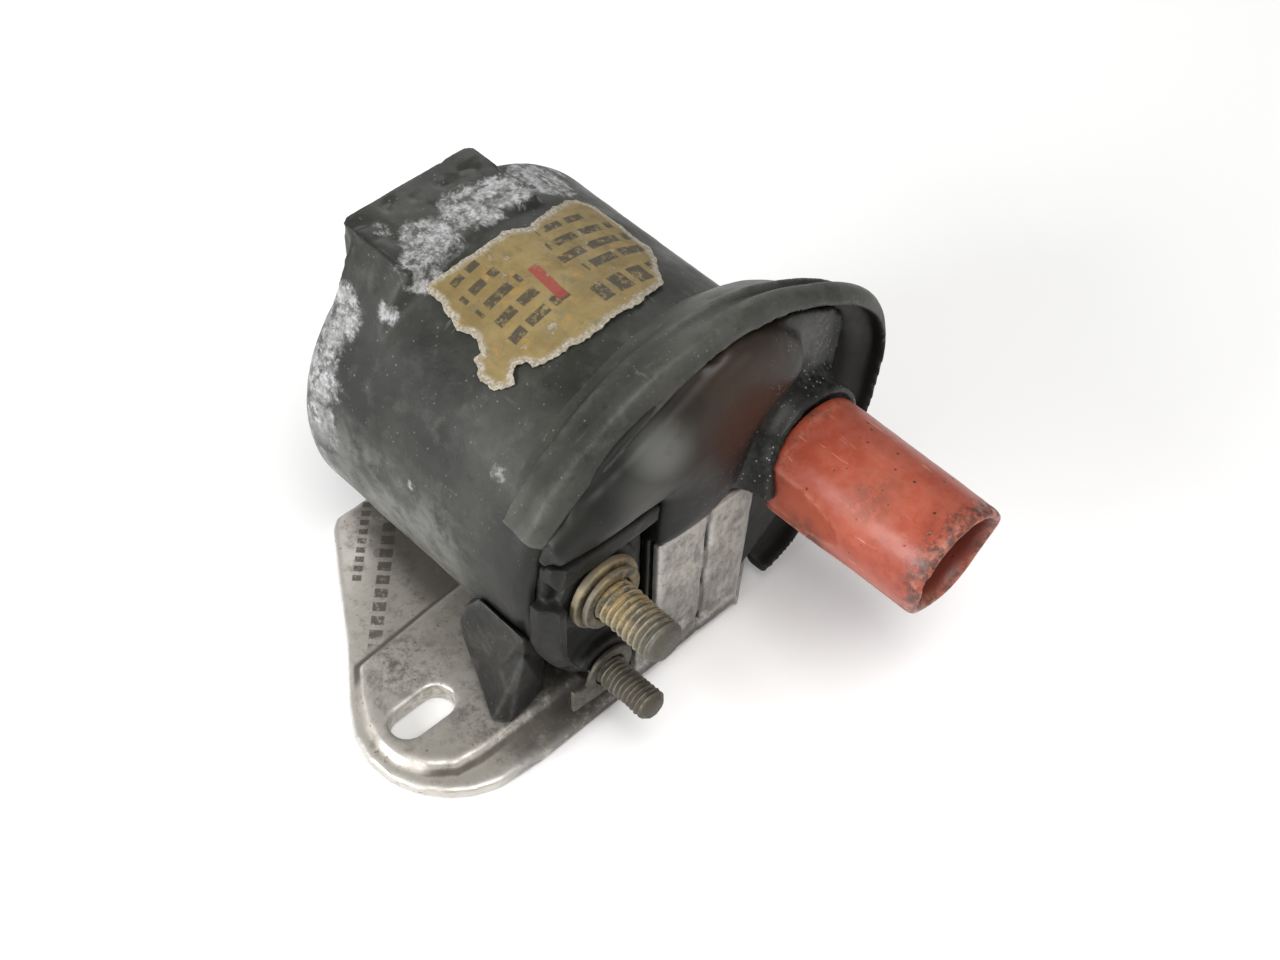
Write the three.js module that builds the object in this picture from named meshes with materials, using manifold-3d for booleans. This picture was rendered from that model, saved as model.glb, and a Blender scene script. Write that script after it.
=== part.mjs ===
// Transistor-type ignition coil on a flat mounting plate.
// Millimetres, +Z up. The coil's axis runs along Y; the high-tension tower points towards -Y.
// Inside the group `coil` the origin is on the underside of the plate, at the plate's front edge,
// under the coil's axis; the outer group moves it to the centre of the plate's underside.
import * as THREE from 'three';
import { mergeVertices } from 'three/addons/utils/BufferGeometryUtils.js';
import Module from 'manifold-3d';

const wasm = await Module();
wasm.setup();

// ---- driving dimensions ----
const PLATE_T = 2.5;            // plate thickness
const PAD_H = 1.6;              // raised pad round each slot
const PLATE_DEPTH = 65.3;       // front edge to rear edge
const SLOT_W = 6.6;             // mounting slots, for M6 bolts
const SLOT_L = 13.0;
const SLOT_X = 45.0;            // slot centre from the axis
const SLOT_Y = 19.9;            // slot centre from the front edge
const BODY_R = 34.0;            // moulded pot
const AXIS_Z = 37.5;            // coil axis above the underside of the plate
const BODY_Y0 = 4.6;            // front end of the pot
const BODY_Y1 = 64.0;           // rear end of the pot
const WALL = 2.6;               // pot wall
const RIDGE_X0 = -17.4;         // flat-topped rear housing over the yoke
const RIDGE_X1 = 9.6; 
const RIDGE_TOP = 71.7;
const RIDGE_Y0 = 47.5;
const RIDGE_Y1 = 66.0;
const TOWER_X = 24.6;           // high-tension tower axis
const TOWER_Z = 38.2;
const TOWER_R = 11.3;
const TOWER_BORE = 8.3;
const TOWER_TIP = -37.5;
const TOWER_BASE = -3.2;
const STUD_L = { x: -21.2, z: 37.4, r: 4.0, tip: -15.5 };   // M8
const STUD_S = { x: -19.7, z: 13.9, r: 3.0, tip: -11.9 };   // M6
const TAB_TOP = 36.0;           // height of the two turned-up tabs
const TAB_T = 2.0;
const GAP = 0.3;                // clearance between touching pieces
const SEG = 40;                 // facets on large round pieces

// ---- solid helpers ----
function clean(geometry) {
  const g = geometry.index ? geometry : geometry.clone();
  for (const k of Object.keys(g.attributes)) if (k !== 'position') g.deleteAttribute(k);
  const m = mergeVertices(g, 1e-4);
  const p = m.attributes.position, idx = m.index.array, out = [];
  for (let i = 0; i < idx.length; i += 3) {
    const [a, b, c] = [idx[i], idx[i + 1], idx[i + 2]];
    if (a !== b && b !== c && a !== c) out.push(a, b, c);
  }
  let vol = 0;
  const A = new THREE.Vector3(), B = new THREE.Vector3(), C = new THREE.Vector3();
  for (let i = 0; i < out.length; i += 3) {
    A.fromBufferAttribute(p, out[i]); B.fromBufferAttribute(p, out[i + 1]); C.fromBufferAttribute(p, out[i + 2]);
    vol += A.dot(B.cross(C));
  }
  if (vol < 0) for (let i = 0; i < out.length; i += 3) [out[i + 1], out[i + 2]] = [out[i + 2], out[i + 1]];
  return { vertProperties: new Float32Array(p.array), triVerts: new Uint32Array(out) };
}
function solid(geometry) {
  const { vertProperties, triVerts } = clean(geometry);
  return new wasm.Manifold(new wasm.Mesh({ numProp: 3, vertProperties, triVerts }));
}
function toGeometry(manifold) {
  const m = manifold.getMesh();
  const g = new THREE.BufferGeometry();
  const n = m.numProp, v = m.vertProperties, pos = new Float32Array(v.length / n * 3);
  for (let i = 0; i < v.length / n; i++) { pos[3 * i] = v[n * i]; pos[3 * i + 1] = v[n * i + 1]; pos[3 * i + 2] = v[n * i + 2]; }
  g.setAttribute('position', new THREE.BufferAttribute(pos, 3));
  g.setIndex(new THREE.BufferAttribute(new Uint32Array(m.triVerts), 1));
  g.computeVertexNormals();
  return g;
}
// block between two corners
function block(x0, x1, y0, y1, z0, z1) {
  return solid(new THREE.BoxGeometry(x1 - x0, y1 - y0, z1 - z0).translate((x0 + x1) / 2, (y0 + y1) / 2, (z0 + z1) / 2));
}
// rod along Y
function rod(x, z, r, y0, y1, seg = 24) {
  return solid(new THREE.CylinderGeometry(r, r, y1 - y0, seg).translate(x, (y0 + y1) / 2, z));
}
// pin along Z
function pin(x, y, r, z0, z1, seg = 16) {
  return solid(new THREE.CylinderGeometry(r, r, z1 - z0, seg).rotateX(Math.PI / 2).translate(x, y, (z0 + z1) / 2));
}
// turned piece, profile [[radius, y], ...] about an axis along Y
function turned(profile, x, z, seg = SEG, closed = false) {
  const pts = profile.map(([r, y]) => new THREE.Vector2(r, y));
  if (closed) pts.push(pts[0].clone());
  return solid(new THREE.LatheGeometry(pts, seg).translate(x, 0, z));
}
function ring(r0, r1, y0, y1, x = 0, z = AXIS_Z, seg = SEG) {
  return turned([[r0, y0], [r1, y0], [r1, y1], [r0, y1]], x, z, seg, true);
}
// outline in X,Y raised from z0 to z1
function slab(points, z0, z1) {
  const s = new THREE.Shape(points.map(([x, y]) => new THREE.Vector2(x, y)));
  return solid(new THREE.ExtrudeGeometry(s, { depth: z1 - z0, bevelEnabled: false, steps: 1 }).translate(0, 0, z0));
}
// outline in X,Z run from y0 to y1
function panel(points, y0, y1) {
  const s = new THREE.Shape(points.map(([x, z]) => new THREE.Vector2(x, z)));
  return solid(new THREE.ExtrudeGeometry(s, { depth: y1 - y0, bevelEnabled: false, steps: 1 }).rotateX(Math.PI / 2).translate(0, y1, 0));
}
function obround(cx, cy, length, width, seg = 8) {
  const r = width / 2, h = (length - width) / 2, out = [];
  for (let i = 0; i <= seg; i++) { const a = -Math.PI / 2 + Math.PI * i / seg; out.push([cx + h + r * Math.cos(a), cy + r * Math.sin(a)]); }
  for (let i = 0; i <= seg; i++) { const a = Math.PI / 2 + Math.PI * i / seg; out.push([cx - h + r * Math.cos(a), cy + r * Math.sin(a)]); }
  return out;
}
// round wire along a path
function wire(points, r, steps = 10, sides = 8) {
  const curve = new THREE.CatmullRomCurve3(points.map(p => new THREE.Vector3(...p)));
  const s = new THREE.Shape();
  for (let i = 0; i < sides; i++) { const a = 2 * Math.PI * i / sides; i ? s.lineTo(r * Math.cos(a), r * Math.sin(a)) : s.moveTo(r, 0); }
  return solid(new THREE.ExtrudeGeometry(s, { steps, bevelEnabled: false, extrudePath: curve }));
}
const half = ([x, y]) => [-x, PLATE_DEPTH - y];   // the plate repeats after half a turn

// ---- materials ----
const mat = (color, roughness, metalness) => new THREE.MeshStandardMaterial({ color, roughness, metalness });
const BLACK = mat(0x2f302e, 0.55, 0.0);
const BLACK2 = mat(0x262725, 0.6, 0.0);
const RED = mat(0xb5452f, 0.45, 0.0);
const ALU = mat(0xb9b4a8, 0.4, 0.9);
const ZINC = mat(0xb5a67c, 0.45, 0.85);
const BRASS = mat(0xb08d4a, 0.35, 0.9);
const IRON = mat(0x5d6064, 0.5, 0.8);
const COPPER = mat(0xa5562c, 0.4, 0.8);
const RESIN = mat(0x5a3f24, 0.5, 0.0);
const NYLON = mat(0xc9bfa6, 0.6, 0.0);
const RUBBER = mat(0x1b1b1b, 0.8, 0.0);
const PAPER = mat(0xc2a655, 0.7, 0.0);

const coil = new THREE.Group();
coil.position.set(0, -PLATE_DEPTH / 2, 0);
function add(name, manifold, material) {
  const mesh = new THREE.Mesh(toGeometry(manifold), material);
  mesh.name = name;
  coil.add(mesh);
}

// ---- mounting plate: ears, raised pads, slots, turned-up tabs ----
const leftEdge = [[-35.5, 0], [-44, 0.8], [-48.2, 2.6], [-51.6, 5.2], [-54.9, 9.2], [-56.8, 14.2], [-57.2, 19.8], [-55.7, 25.4], [-52.4, 31], [-44.5, 41.5], [-30.2, 63.6], [-28.2, PLATE_DEPTH]];
const rightEdge = leftEdge.slice(0, -2).map(half);
const outline = [...leftEdge, ...rightEdge, [30, 13.5], [21, 5.5], [15.2, 1.2], [13.6, 0]];
let plate = slab(outline, 0, PLATE_T);
const pad = [[-31, 7.0], [-43, 7.4], [-47.4, 8.2], [-51, 11.2], [-53.4, 15.4], [-53.8, 19.8], [-52.6, 24.6], [-49.8, 29.6], [-46.2, 34.6], [-20, 36.4], [-20, 7.0]];
plate = plate.add(slab(pad, PLATE_T - 0.5, PLATE_T + PAD_H)).add(slab(pad.map(half), PLATE_T - 0.5, PLATE_T + PAD_H));
plate = plate.subtract(slab(obround(-SLOT_X, SLOT_Y, SLOT_L, SLOT_W), -1, 9));
plate = plate.subtract(slab(obround(SLOT_X, PLATE_DEPTH - SLOT_Y, SLOT_L, SLOT_W), -1, 9));
const tabs = panel([[-12.2, 1.2], [13.4, 1.2], [15.8, TAB_TOP], [5.0, TAB_TOP], [3.6, 6], [2.9, 6], [4.0, TAB_TOP - 0.4], [-7.7, TAB_TOP], [-7.7, 17], [-12.2, 12]], 0, TAB_T);
plate = plate.add(tabs);
const RIVETS = [[-27, 20.5], [27, 44.8], [-14, 58.5], [12, 12.5]];
for (const [x, y] of RIVETS) plate = plate.subtract(pin(x, y, 2.0, -1, 9));
add('base_plate', plate, ALU);

// ---- moulded pot with the flat-topped yoke housing at its rear ----
let pot = turned([[0, BODY_Y0], [BODY_R, BODY_Y0], [BODY_R, BODY_Y1 - 4.6], [BODY_R - 0.7, BODY_Y1 - 2.2], [BODY_R - 2.2, BODY_Y1 - 0.6], [BODY_R - 4.6, BODY_Y1], [0, BODY_Y1]], 0, AXIS_Z, 56);
pot = pot.add(block(RIDGE_X0, RIDGE_X1, RIDGE_Y0, RIDGE_Y1, 55, RIDGE_TOP));
pot = pot.add(block(RIDGE_X0, RIDGE_X1, BODY_Y1 - 6, RIDGE_Y1, 7.5, 60));
pot = pot.subtract(rod(0, AXIS_Z, BODY_R - WALL, -5, BODY_Y1 - 2.6, SEG));
pot = pot.subtract(block(RIDGE_X0 + 2.6, RIDGE_X1 - 2.6, BODY_Y1 - 4, RIDGE_Y1 - 2.0, 10.5, 66.5));
add('housing_pot', pot, BLACK);

// ---- front hood: a double-lipped collar that sweeps out into a guard on the tower side ----
// rim point (x, z) at the front, angle of the same section on the pot, rear end and front end of the section
const HOOD = [
  [-32.6, 54.6, -62, 11.5, 4.2], [-31.6, 57.6, -57, 13.2, 3.0], [-27.8, 62.8, -47, 13.4, 2.4], [-21.6, 67.3, -37, 13.6, 2.2], [-13.6, 71.6, -25, 13.8, 2.2],
  [-5.0, 74.2, -13, 14.2, 2.2], [3.5, 75.4, -2, 14.6, 2.0], [12.0, 75.7, 9, 15.2, 1.6], [20.5, 73.8, 20, 16.2, 1.2], [29.0, 70.2, 31, 17.2, 0.8],
  [36.6, 66.0, 43, 18.2, 0.2], [42.4, 61.0, 53, 18.4, 0], [46.0, 55.2, 62, 18.4, 0], [47.7, 49.0, 70, 18.0, 0], [47.9, 43.4, 78, 17.4, 0],
  [46.9, 36.6, 87, 16.6, 0], [45.2, 29.6, 97, 15.6, 0], [38.0, 18.6, 112, 14.2, 0], [30.4, 8.2, 128, 12.6, 0], [25.6, 5.0, 136, 11.6, 0], [20.6, 3.6, 142, 10.6, 0],
];
const LIP = 2.3;
function hoodSections() {
  const rows = [];
  for (const [x, z, deg, yr, yf] of HOOD) {
    const a = deg * Math.PI / 180, b = new THREE.Vector2(Math.sin(a), Math.cos(a));
    const base = b.clone().multiplyScalar(BODY_R + GAP);
    const rim = new THREE.Vector2(x, z - AXIS_Z);
    const d = rim.clone().sub(base), L = d.length(), u = L > 1e-6 ? d.clone().divideScalar(L) : b;
    // how far each profile point stands along base -> rim, and its y
    const at = (s, y) => { const p = base.clone().addScaledVector(u, s); return [p.x, y, p.y + AXIS_Z]; };
    const inner = Math.max(0, L - LIP), k = Math.max(0, (L - LIP) / 10);
    rows.push([
      at(0, yr), at(0.42 * L, yr - 3.6), at(0.78 * L, yf + 7.0), at(0.82 * L, yf + 5.6), at(0.76 * L, yf + 4.6), at(0.96 * L, yf + 3.2), at(L, yf + 0.8), at(L - 0.5, yf - 0.6),
      at(inner, yf - 0.6), at(inner - Math.min(inner, 0.4), yf + 3.0), at(0.70 * inner, yf + 4.6 + 0.3 * k), at(0, Math.max(yf + 3.6, yr - 6.4)),
    ]);
  }
  return rows;
}
function loft(rows) {
  const n = rows[0].length, pos = [], idx = [];
  for (const r of rows) for (const p of r) pos.push(...p);
  for (let i = 0; i < rows.length - 1; i++) for (let j = 0; j < n; j++) {
    const a = i * n + j, b = i * n + (j + 1) % n, c = a + n, d = b + n;
    idx.push(a, c, b, b, c, d);
  }
  const cap = (row, base, flip) => {
    // section outlines are close to star-shaped about their centre of area
    const c = [0, 0, 0];
    for (const p of row) for (let k = 0; k < 3; k++) c[k] += p[k] / n;
    const ci = pos.length / 3; pos.push(...c);
    for (let j = 0; j < n; j++) { const a = base + j, b = base + (j + 1) % n; flip ? idx.push(ci, b, a) : idx.push(ci, a, b); }
  };
  cap(rows[0], 0, false); cap(rows[rows.length - 1], (rows.length - 1) * n, true);
  const g = new THREE.BufferGeometry();
  g.setAttribute('position', new THREE.Float32BufferAttribute(pos, 3));
  g.setIndex(idx);
  return solid(g);
}
let hood = loft(hoodSections());
hood = hood.subtract(rod(0, AXIS_Z, BODY_R + 0.25, -5, 30, 56));
hood = hood.subtract(block(-60, 60, -5, 30, -5, PLATE_T + GAP));
add('front_hood', hood, BLACK);

// ---- front cap: domed end with the tower seat; cut away round the terminals and behind the tabs ----
const CAP_Y = 2.2;              // flat margin of the cap
const bulge = (a, b, c, seg) => solid(new THREE.SphereGeometry(1, seg, seg / 2).scale(a, b, c).translate(-0.5, CAP_Y, 53.8));
let cap = rod(0, AXIS_Z, 33.7, CAP_Y, BODY_Y0 - GAP, 56);
cap = cap.add(bulge(31.5, 5.6, 17.6, 32).intersect(rod(0, AXIS_Z, 33.2, -20, CAP_Y + 1, 56)));
cap = cap.add(ring(28.2, BODY_R - WALL - GAP, BODY_Y0 - 1, 10.5, 0, AXIS_Z, SEG));
cap = cap.subtract(bulge(28.5, 3.4, 14.8, 24).add(rod(-0.5, 53.8, 9, CAP_Y, 8, 20)));
cap = cap.add(rod(TOWER_X, TOWER_Z, 12.9, TOWER_BASE + GAP, 4, 32).intersect(rod(0, AXIS_Z, 36.8, -10, 2.9, 48).add(rod(0, AXIS_Z, 33.7, 2.8, BODY_Y0 - GAP, 48))));
cap = cap.add(rod(TOWER_X, TOWER_Z, 8.5, 0, 9.5, 24).intersect(rod(0, AXIS_Z, BODY_R - WALL - GAP, -5, 12, SEG)));
cap = cap.subtract(rod(TOWER_X, TOWER_Z, TOWER_R + 0.8, -20, TOWER_BASE + GAP, 32));
cap = cap.subtract(rod(TOWER_X, TOWER_Z, 5.6, -20, 20, 24));
cap = cap.subtract(block(-50, -8.2, -20, 20, -5, 49.6));
cap = cap.subtract(block(-9, 17.4, -20, TAB_T + GAP, -5, TAB_TOP + GAP));
cap = cap.subtract(block(-60, 60, -20, 20, -5, PLATE_T + GAP));
add('front_cap', cap, BLACK2);

// seal between cap and pot, behind the cap's spigot
add('cap_seal', ring(27.4, 30.8, 10.9, 12.4), RUBBER);

// ---- high-tension tower and its contact ----
const tower = turned([[0, 10.4], [5.2, 10.4], [5.2, TOWER_BASE + 0.1], [TOWER_R - 0.2, TOWER_BASE], [TOWER_R, TOWER_BASE - 1], [TOWER_R - 0.25, TOWER_TIP + 1], [TOWER_R - 0.9, TOWER_TIP], [TOWER_BORE + 0.4, TOWER_TIP], [TOWER_BORE, TOWER_TIP + 0.8], [TOWER_BORE - 0.5, -8.5], [3.4, -7.2], [3.4, 8], [0, 8]], TOWER_X, TOWER_Z, 36)
  .subtract(rod(TOWER_X, TOWER_Z, 1.4, 5, 20, 12));
const key = block(TOWER_X - 9.9, TOWER_X + 9.9, TOWER_TIP + 0.2, TOWER_BASE - 0.3, TOWER_Z - TOWER_R - 0.3, TOWER_Z - 4.6)
  .subtract(rod(TOWER_X, TOWER_Z, TOWER_R - 1.2, -60, 20, 36));
const keyClip = rod(TOWER_X, TOWER_Z - 0.2, TOWER_R + 0.2, -60, 20, 36);
add('ht_tower', tower.add(key.intersect(keyClip)), RED);
add('ht_contact', turned([[0, -1.5], [1.3, -1.5], [3.1, -3.0], [3.1, -12], [2.5, -12.6], [1.7, -12.6], [1.7, -5], [0, -5]], TOWER_X, TOWER_Z, 20)
  .add(rod(TOWER_X, TOWER_Z, 1.0, -1.6, 14, 12)), BRASS);

// ---- terminals ----
let carrier = block(-31.0, -9.4, 4.0, 9.6, 4.6, 47.8).add(block(-31.0, -9.4, 2.6, 4.4, 4.6, 47.8));
carrier = carrier.add(block(-31.0, -8.8, -0.6, 3.0, 45.0, 49.0));
carrier = carrier.add(rod(STUD_L.x, STUD_L.z, 8.6, 0.6, 3.0, 28));
carrier = carrier.add(rod(STUD_S.x, STUD_S.z, 6.6, 0.2, 3.0, 24));
carrier = carrier.add(block(-33.2, -29.4, -1.2, 9.6, 10, 40));
carrier = carrier.subtract(rod(STUD_L.x, STUD_L.z, STUD_L.r + GAP, -20, 20, 20));
carrier = carrier.subtract(rod(STUD_S.x, STUD_S.z, STUD_S.r + GAP, -20, 20, 20));
carrier = carrier.subtract(block(-40, -13.4, 8.0, 12, 4, 21));
carrier = carrier.intersect(rod(0, AXIS_Z, BODY_R + 0.6, -20, BODY_Y0 - GAP, 56).add(rod(0, AXIS_Z, BODY_R - WALL - GAP, BODY_Y0 - 0.4, 30, 40)));
add('terminal_carrier', carrier, BLACK2);
add('stud_large', rod(STUD_L.x, STUD_L.z, STUD_L.r, STUD_L.tip + 0.8, 11.5, 20)
  .add(turned([[0, STUD_L.tip], [STUD_L.r - 0.8, STUD_L.tip], [STUD_L.r, STUD_L.tip + 0.9], [0, STUD_L.tip + 0.9]], STUD_L.x, STUD_L.z, 20)), ZINC);
add('stud_large_collar', ring(STUD_L.r + 0.25, 7.1, -1.4, 0.3, STUD_L.x, STUD_L.z, 24), ZINC);
add('stud_large_washer', ring(STUD_L.r + 0.25, 6.1, -2.9, -1.7, STUD_L.x, STUD_L.z, 24), ZINC);
add('stud_small', rod(STUD_S.x, STUD_S.z, STUD_S.r, STUD_S.tip + 0.7, BODY_Y0 - GAP, 18)
  .add(turned([[0, STUD_S.tip], [STUD_S.r - 0.7, STUD_S.tip], [STUD_S.r, STUD_S.tip + 0.8], [0, STUD_S.tip + 0.8]], STUD_S.x, STUD_S.z, 18)), ZINC);
const lug = panel([...Array.from({ length: 17 }, (_, i) => { const a = -Math.PI / 2 + Math.PI * 1.5 * i / 16; return [STUD_S.x + 5.2 * Math.cos(a), STUD_S.z + 5.2 * Math.sin(a)]; }), [STUD_S.x - 8.6, STUD_S.z + 1.2], [STUD_S.x - 8.6, STUD_S.z - 4.4], [STUD_S.x - 3, STUD_S.z - 5.2]], -1.0, -0.1)
  .subtract(rod(STUD_S.x, STUD_S.z, STUD_S.r + 0.25, -20, 20, 18));
add('stud_small_lug', lug, ZINC);

// ---- feet that hold the pot to the plate ----
const potClear = rod(0, AXIS_Z, BODY_R + GAP, -20, 80, 56);
const top = PLATE_T + PAD_H + GAP;
function foot(sign, y) {
  let f = block(-31.8, -21.0, y - 7.8, y + 6.4, top, 12.4);
  f = f.add(block(-34.6, -24, y - 11.2, y - 7.4, top, 8.6));
  f = f.add(block(-26.5, -14, y - 7.8, y + 6.4, top, 8.4));
  if (sign > 0) f = solid(toGeometry(f).rotateZ(Math.PI).translate(0, 2 * y, 0));
  return f.subtract(potClear);
}
add('foot_left', foot(-1, 21.2).subtract(pin(-27, 20.5, 2.3, 0, 9)), BLACK);
add('foot_right', foot(1, PLATE_DEPTH - 21.2).subtract(pin(27, 44.8, 2.3, 0, 9)), BLACK);
let rearFoot = block(-19.4, -8.0, 53.5, 61.6, PLATE_T + GAP, 12).subtract(potClear);
rearFoot = rearFoot.subtract(block(-30, 30, 55.7, 80, 7.2, 20)).subtract(pin(-14, 58.5, 2.3, 0, 5.6));
add('foot_rear', rearFoot, BLACK);
let frontFoot = block(4.6, 16.0, 8.2, 16.6, PLATE_T + GAP, 12).subtract(potClear).subtract(pin(12, 12.5, 2.3, 0, 5.2));
add('foot_front', frontFoot, BLACK);
const NAMES = ['rivet_left', 'rivet_right', 'rivet_rear', 'rivet_front'];
RIVETS.forEach(([x, y], i) => {
  const tip = i < 2 ? 8.2 : 4.6;
  add(NAMES[i], pin(x, y, 1.7, 0.1, tip, 12), IRON);
});

// ---- label on top of the pot ----
const A0 = -29 * Math.PI / 180, A1 = 31 * Math.PI / 180, NA = 14;
const arc = (r, a, b, n) => Array.from({ length: n + 1 }, (_, i) => { const t = a + (b - a) * i / n; return [r * Math.sin(t), AXIS_Z + r * Math.cos(t)]; });
add('label', panel([...arc(BODY_R + 0.75, A0, A1, NA), ...arc(BODY_R + 0.35, A1, A0, NA)], 19.6, 47.0), PAPER);

// ---- inside: iron circuit ----
add('core_laminations', block(-5.3, 5.3, 13.5, 58.6, AXIS_Z - 5.3, AXIS_Z + 5.3).add(block(-6.5, 6.5, 13.5, 58.6, AXIS_Z - 3.6, AXIS_Z + 3.6)).add(block(-3.6, 3.6, 13.5, 58.6, AXIS_Z - 6.5, AXIS_Z + 6.5)), IRON);
add('rear_yoke', block(-14.2, 6.4, 60.9, 63.7, 12.5, 64.5), IRON);
const jacket = [];
for (let i = 0; i <= 36; i++) { const t = -Math.PI / 2 + 0.12 + (2 * Math.PI - 0.24) * i / 36; jacket.push([28.6 * Math.cos(t), AXIS_Z + 28.6 * Math.sin(t)]); }
for (let i = 36; i >= 0; i--) { const t = -Math.PI / 2 + 0.12 + (2 * Math.PI - 0.24) * i / 36; jacket.push([27.3 * Math.cos(t), AXIS_Z + 27.3 * Math.sin(t)]); }
add('magnetic_jacket', panel(jacket, 15, 56), IRON);
// windings and their bobbins
add('secondary_bobbin', turned([[7.9, 14.6], [18.4, 14.6], [18.4, 16], [9.2, 16], [9.2, 34.4], [18.4, 34.4], [18.4, 35.8], [9.2, 35.8], [9.2, 54.4], [18.4, 54.4], [18.4, 55.8], [7.9, 55.8]], 0, AXIS_Z, 32, true), NYLON);
add('secondary_winding_front', ring(9.5, 17.6, 16.3, 34.1, 0, AXIS_Z, 32), COPPER);
add('secondary_winding_rear', ring(9.5, 17.6, 36.1, 54.1, 0, AXIS_Z, 32), COPPER);
add('primary_bobbin', turned([[18.8, 14.8], [26.4, 14.8], [26.4, 16], [20.2, 16], [20.2, 54.6], [26.4, 54.6], [26.4, 55.8], [18.8, 55.8]], 0, AXIS_Z, 32, true), NYLON);
add('primary_winding', ring(20.5, 25.6, 16.3, 54.3, 0, AXIS_Z, 32), COPPER);
add('rear_insulator', turned([[0, 59.2], [24, 59.2], [24, 56.2], [8.4, 56.2], [8.4, 58.9], [0, 58.9]], 0, AXIS_Z, 32), NYLON);
add('potting_compound', ring(28.95, 31.0, 14.9, 56.4, 0, AXIS_Z, SEG), RESIN);
add('front_insulator', ring(3.0, 26.6, 12.7, 13.2, 0, AXIS_Z, 32).subtract(rod(TOWER_X, TOWER_Z, 3.2, 0, 20, 16)), NYLON);
add('ht_lead', wire([[20.6, 14.0, 37.3], [19.0, 13.9, 40], [15.5, 13.9, 43.5], [12.5, 14.0, 45.5]], 0.4, 8, 8), COPPER);

const ignitionCoil = new THREE.Group();
ignitionCoil.add(coil);
export default ignitionCoil;
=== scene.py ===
import bpy, bmesh, math
import numpy as np
from mathutils import Vector, Matrix, geometry


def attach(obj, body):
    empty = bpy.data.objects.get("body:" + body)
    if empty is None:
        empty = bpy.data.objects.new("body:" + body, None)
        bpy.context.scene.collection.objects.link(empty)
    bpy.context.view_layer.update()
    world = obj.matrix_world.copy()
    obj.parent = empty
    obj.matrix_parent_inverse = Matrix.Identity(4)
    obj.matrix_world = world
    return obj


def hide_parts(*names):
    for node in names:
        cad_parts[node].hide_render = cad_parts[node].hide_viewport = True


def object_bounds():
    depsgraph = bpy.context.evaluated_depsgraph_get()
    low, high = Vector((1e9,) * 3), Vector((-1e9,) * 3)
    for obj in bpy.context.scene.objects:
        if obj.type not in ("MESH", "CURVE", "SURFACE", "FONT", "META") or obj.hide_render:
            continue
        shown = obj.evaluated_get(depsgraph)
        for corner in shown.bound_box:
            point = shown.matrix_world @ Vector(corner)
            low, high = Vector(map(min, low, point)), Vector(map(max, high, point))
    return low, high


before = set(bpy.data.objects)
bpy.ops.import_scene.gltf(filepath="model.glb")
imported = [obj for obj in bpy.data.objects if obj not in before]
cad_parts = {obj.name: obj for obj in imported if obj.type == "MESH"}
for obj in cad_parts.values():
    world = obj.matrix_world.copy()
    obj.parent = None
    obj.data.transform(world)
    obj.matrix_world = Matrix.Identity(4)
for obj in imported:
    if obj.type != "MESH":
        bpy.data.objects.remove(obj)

CAD_BOX = [list(v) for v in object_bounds()]
DEPTH = 65.3
AX = 37.5            # coil axis height, mm
R0 = 34.0            # pot radius, mm
TX, TZ = 24.6, 38.2  # tower axis
rad = math.radians

# Shapes are made in millimetres with Y counted from the plate's front edge,
# and go to metres in the row frame when a piece is finished.

# ------------------------------------------------------------------ noise
def _hash(ix, iy, iz, seed):
    h = (ix.astype(np.int64) * 374761393 + iy.astype(np.int64) * 668265263 + iz.astype(np.int64) * 2147483647 + seed * 974711) & 0xffffffff
    h = ((h ^ (h >> 13)) * 1274126177) & 0xffffffff
    h = h ^ (h >> 16)
    return (h & 0xffff) / 32767.5 - 1.0

def vnoise(P, size, seed=0):
    """value noise in -1..1; size is the cell size in mm"""
    q = np.asarray(P, float) / size + 1000.0
    i = np.floor(q).astype(np.int64); f = q - i; f = f * f * (3 - 2 * f)
    out = 0
    for dx in (0, 1):
        for dy in (0, 1):
            for dz in (0, 1):
                w = (f[:, 0] if dx else 1 - f[:, 0]) * (f[:, 1] if dy else 1 - f[:, 1]) * (f[:, 2] if dz else 1 - f[:, 2])
                out = out + w * _hash(i[:, 0] + dx, i[:, 1] + dy, i[:, 2] + dz, seed)
    return out

def fbm(P, size, octaves=4, seed=0):
    a, s, out, t = 1.0, size, 0, 0
    for k in range(octaves):
        out = out + a * vnoise(P, s, seed + 17 * k); t += a; a *= 0.5; s *= 0.5
    return out / t

def sstep(x, a, b):
    t = np.clip((np.asarray(x, float) - a) / (b - a), 0, 1)
    return t * t * (3 - 2 * t)

# ------------------------------------------------------------------ mesh helpers
def raw(verts, faces, name="tmp"):
    me = bpy.data.meshes.new(name)
    me.from_pydata([tuple(map(float, v)) for v in verts], [], [tuple(map(int, f)) for f in faces])
    me.update()
    o = bpy.data.objects.new(name, me)
    bpy.context.scene.collection.objects.link(o)
    bm = bmesh.new(); bm.from_mesh(me)
    bmesh.ops.remove_doubles(bm, verts=bm.verts, dist=1e-5)
    bmesh.ops.recalc_face_normals(bm, faces=bm.faces)
    bm.to_mesh(me); bm.free()
    return o

def box(x0, x1, y0, y1, z0, z1):
    v = [(x, y, z) for x in (x0, x1) for y in (y0, y1) for z in (z0, z1)]
    return raw(v, [(0, 1, 3, 2), (4, 6, 7, 5), (0, 4, 5, 1), (2, 3, 7, 6), (0, 2, 6, 4), (1, 5, 7, 3)])

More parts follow.
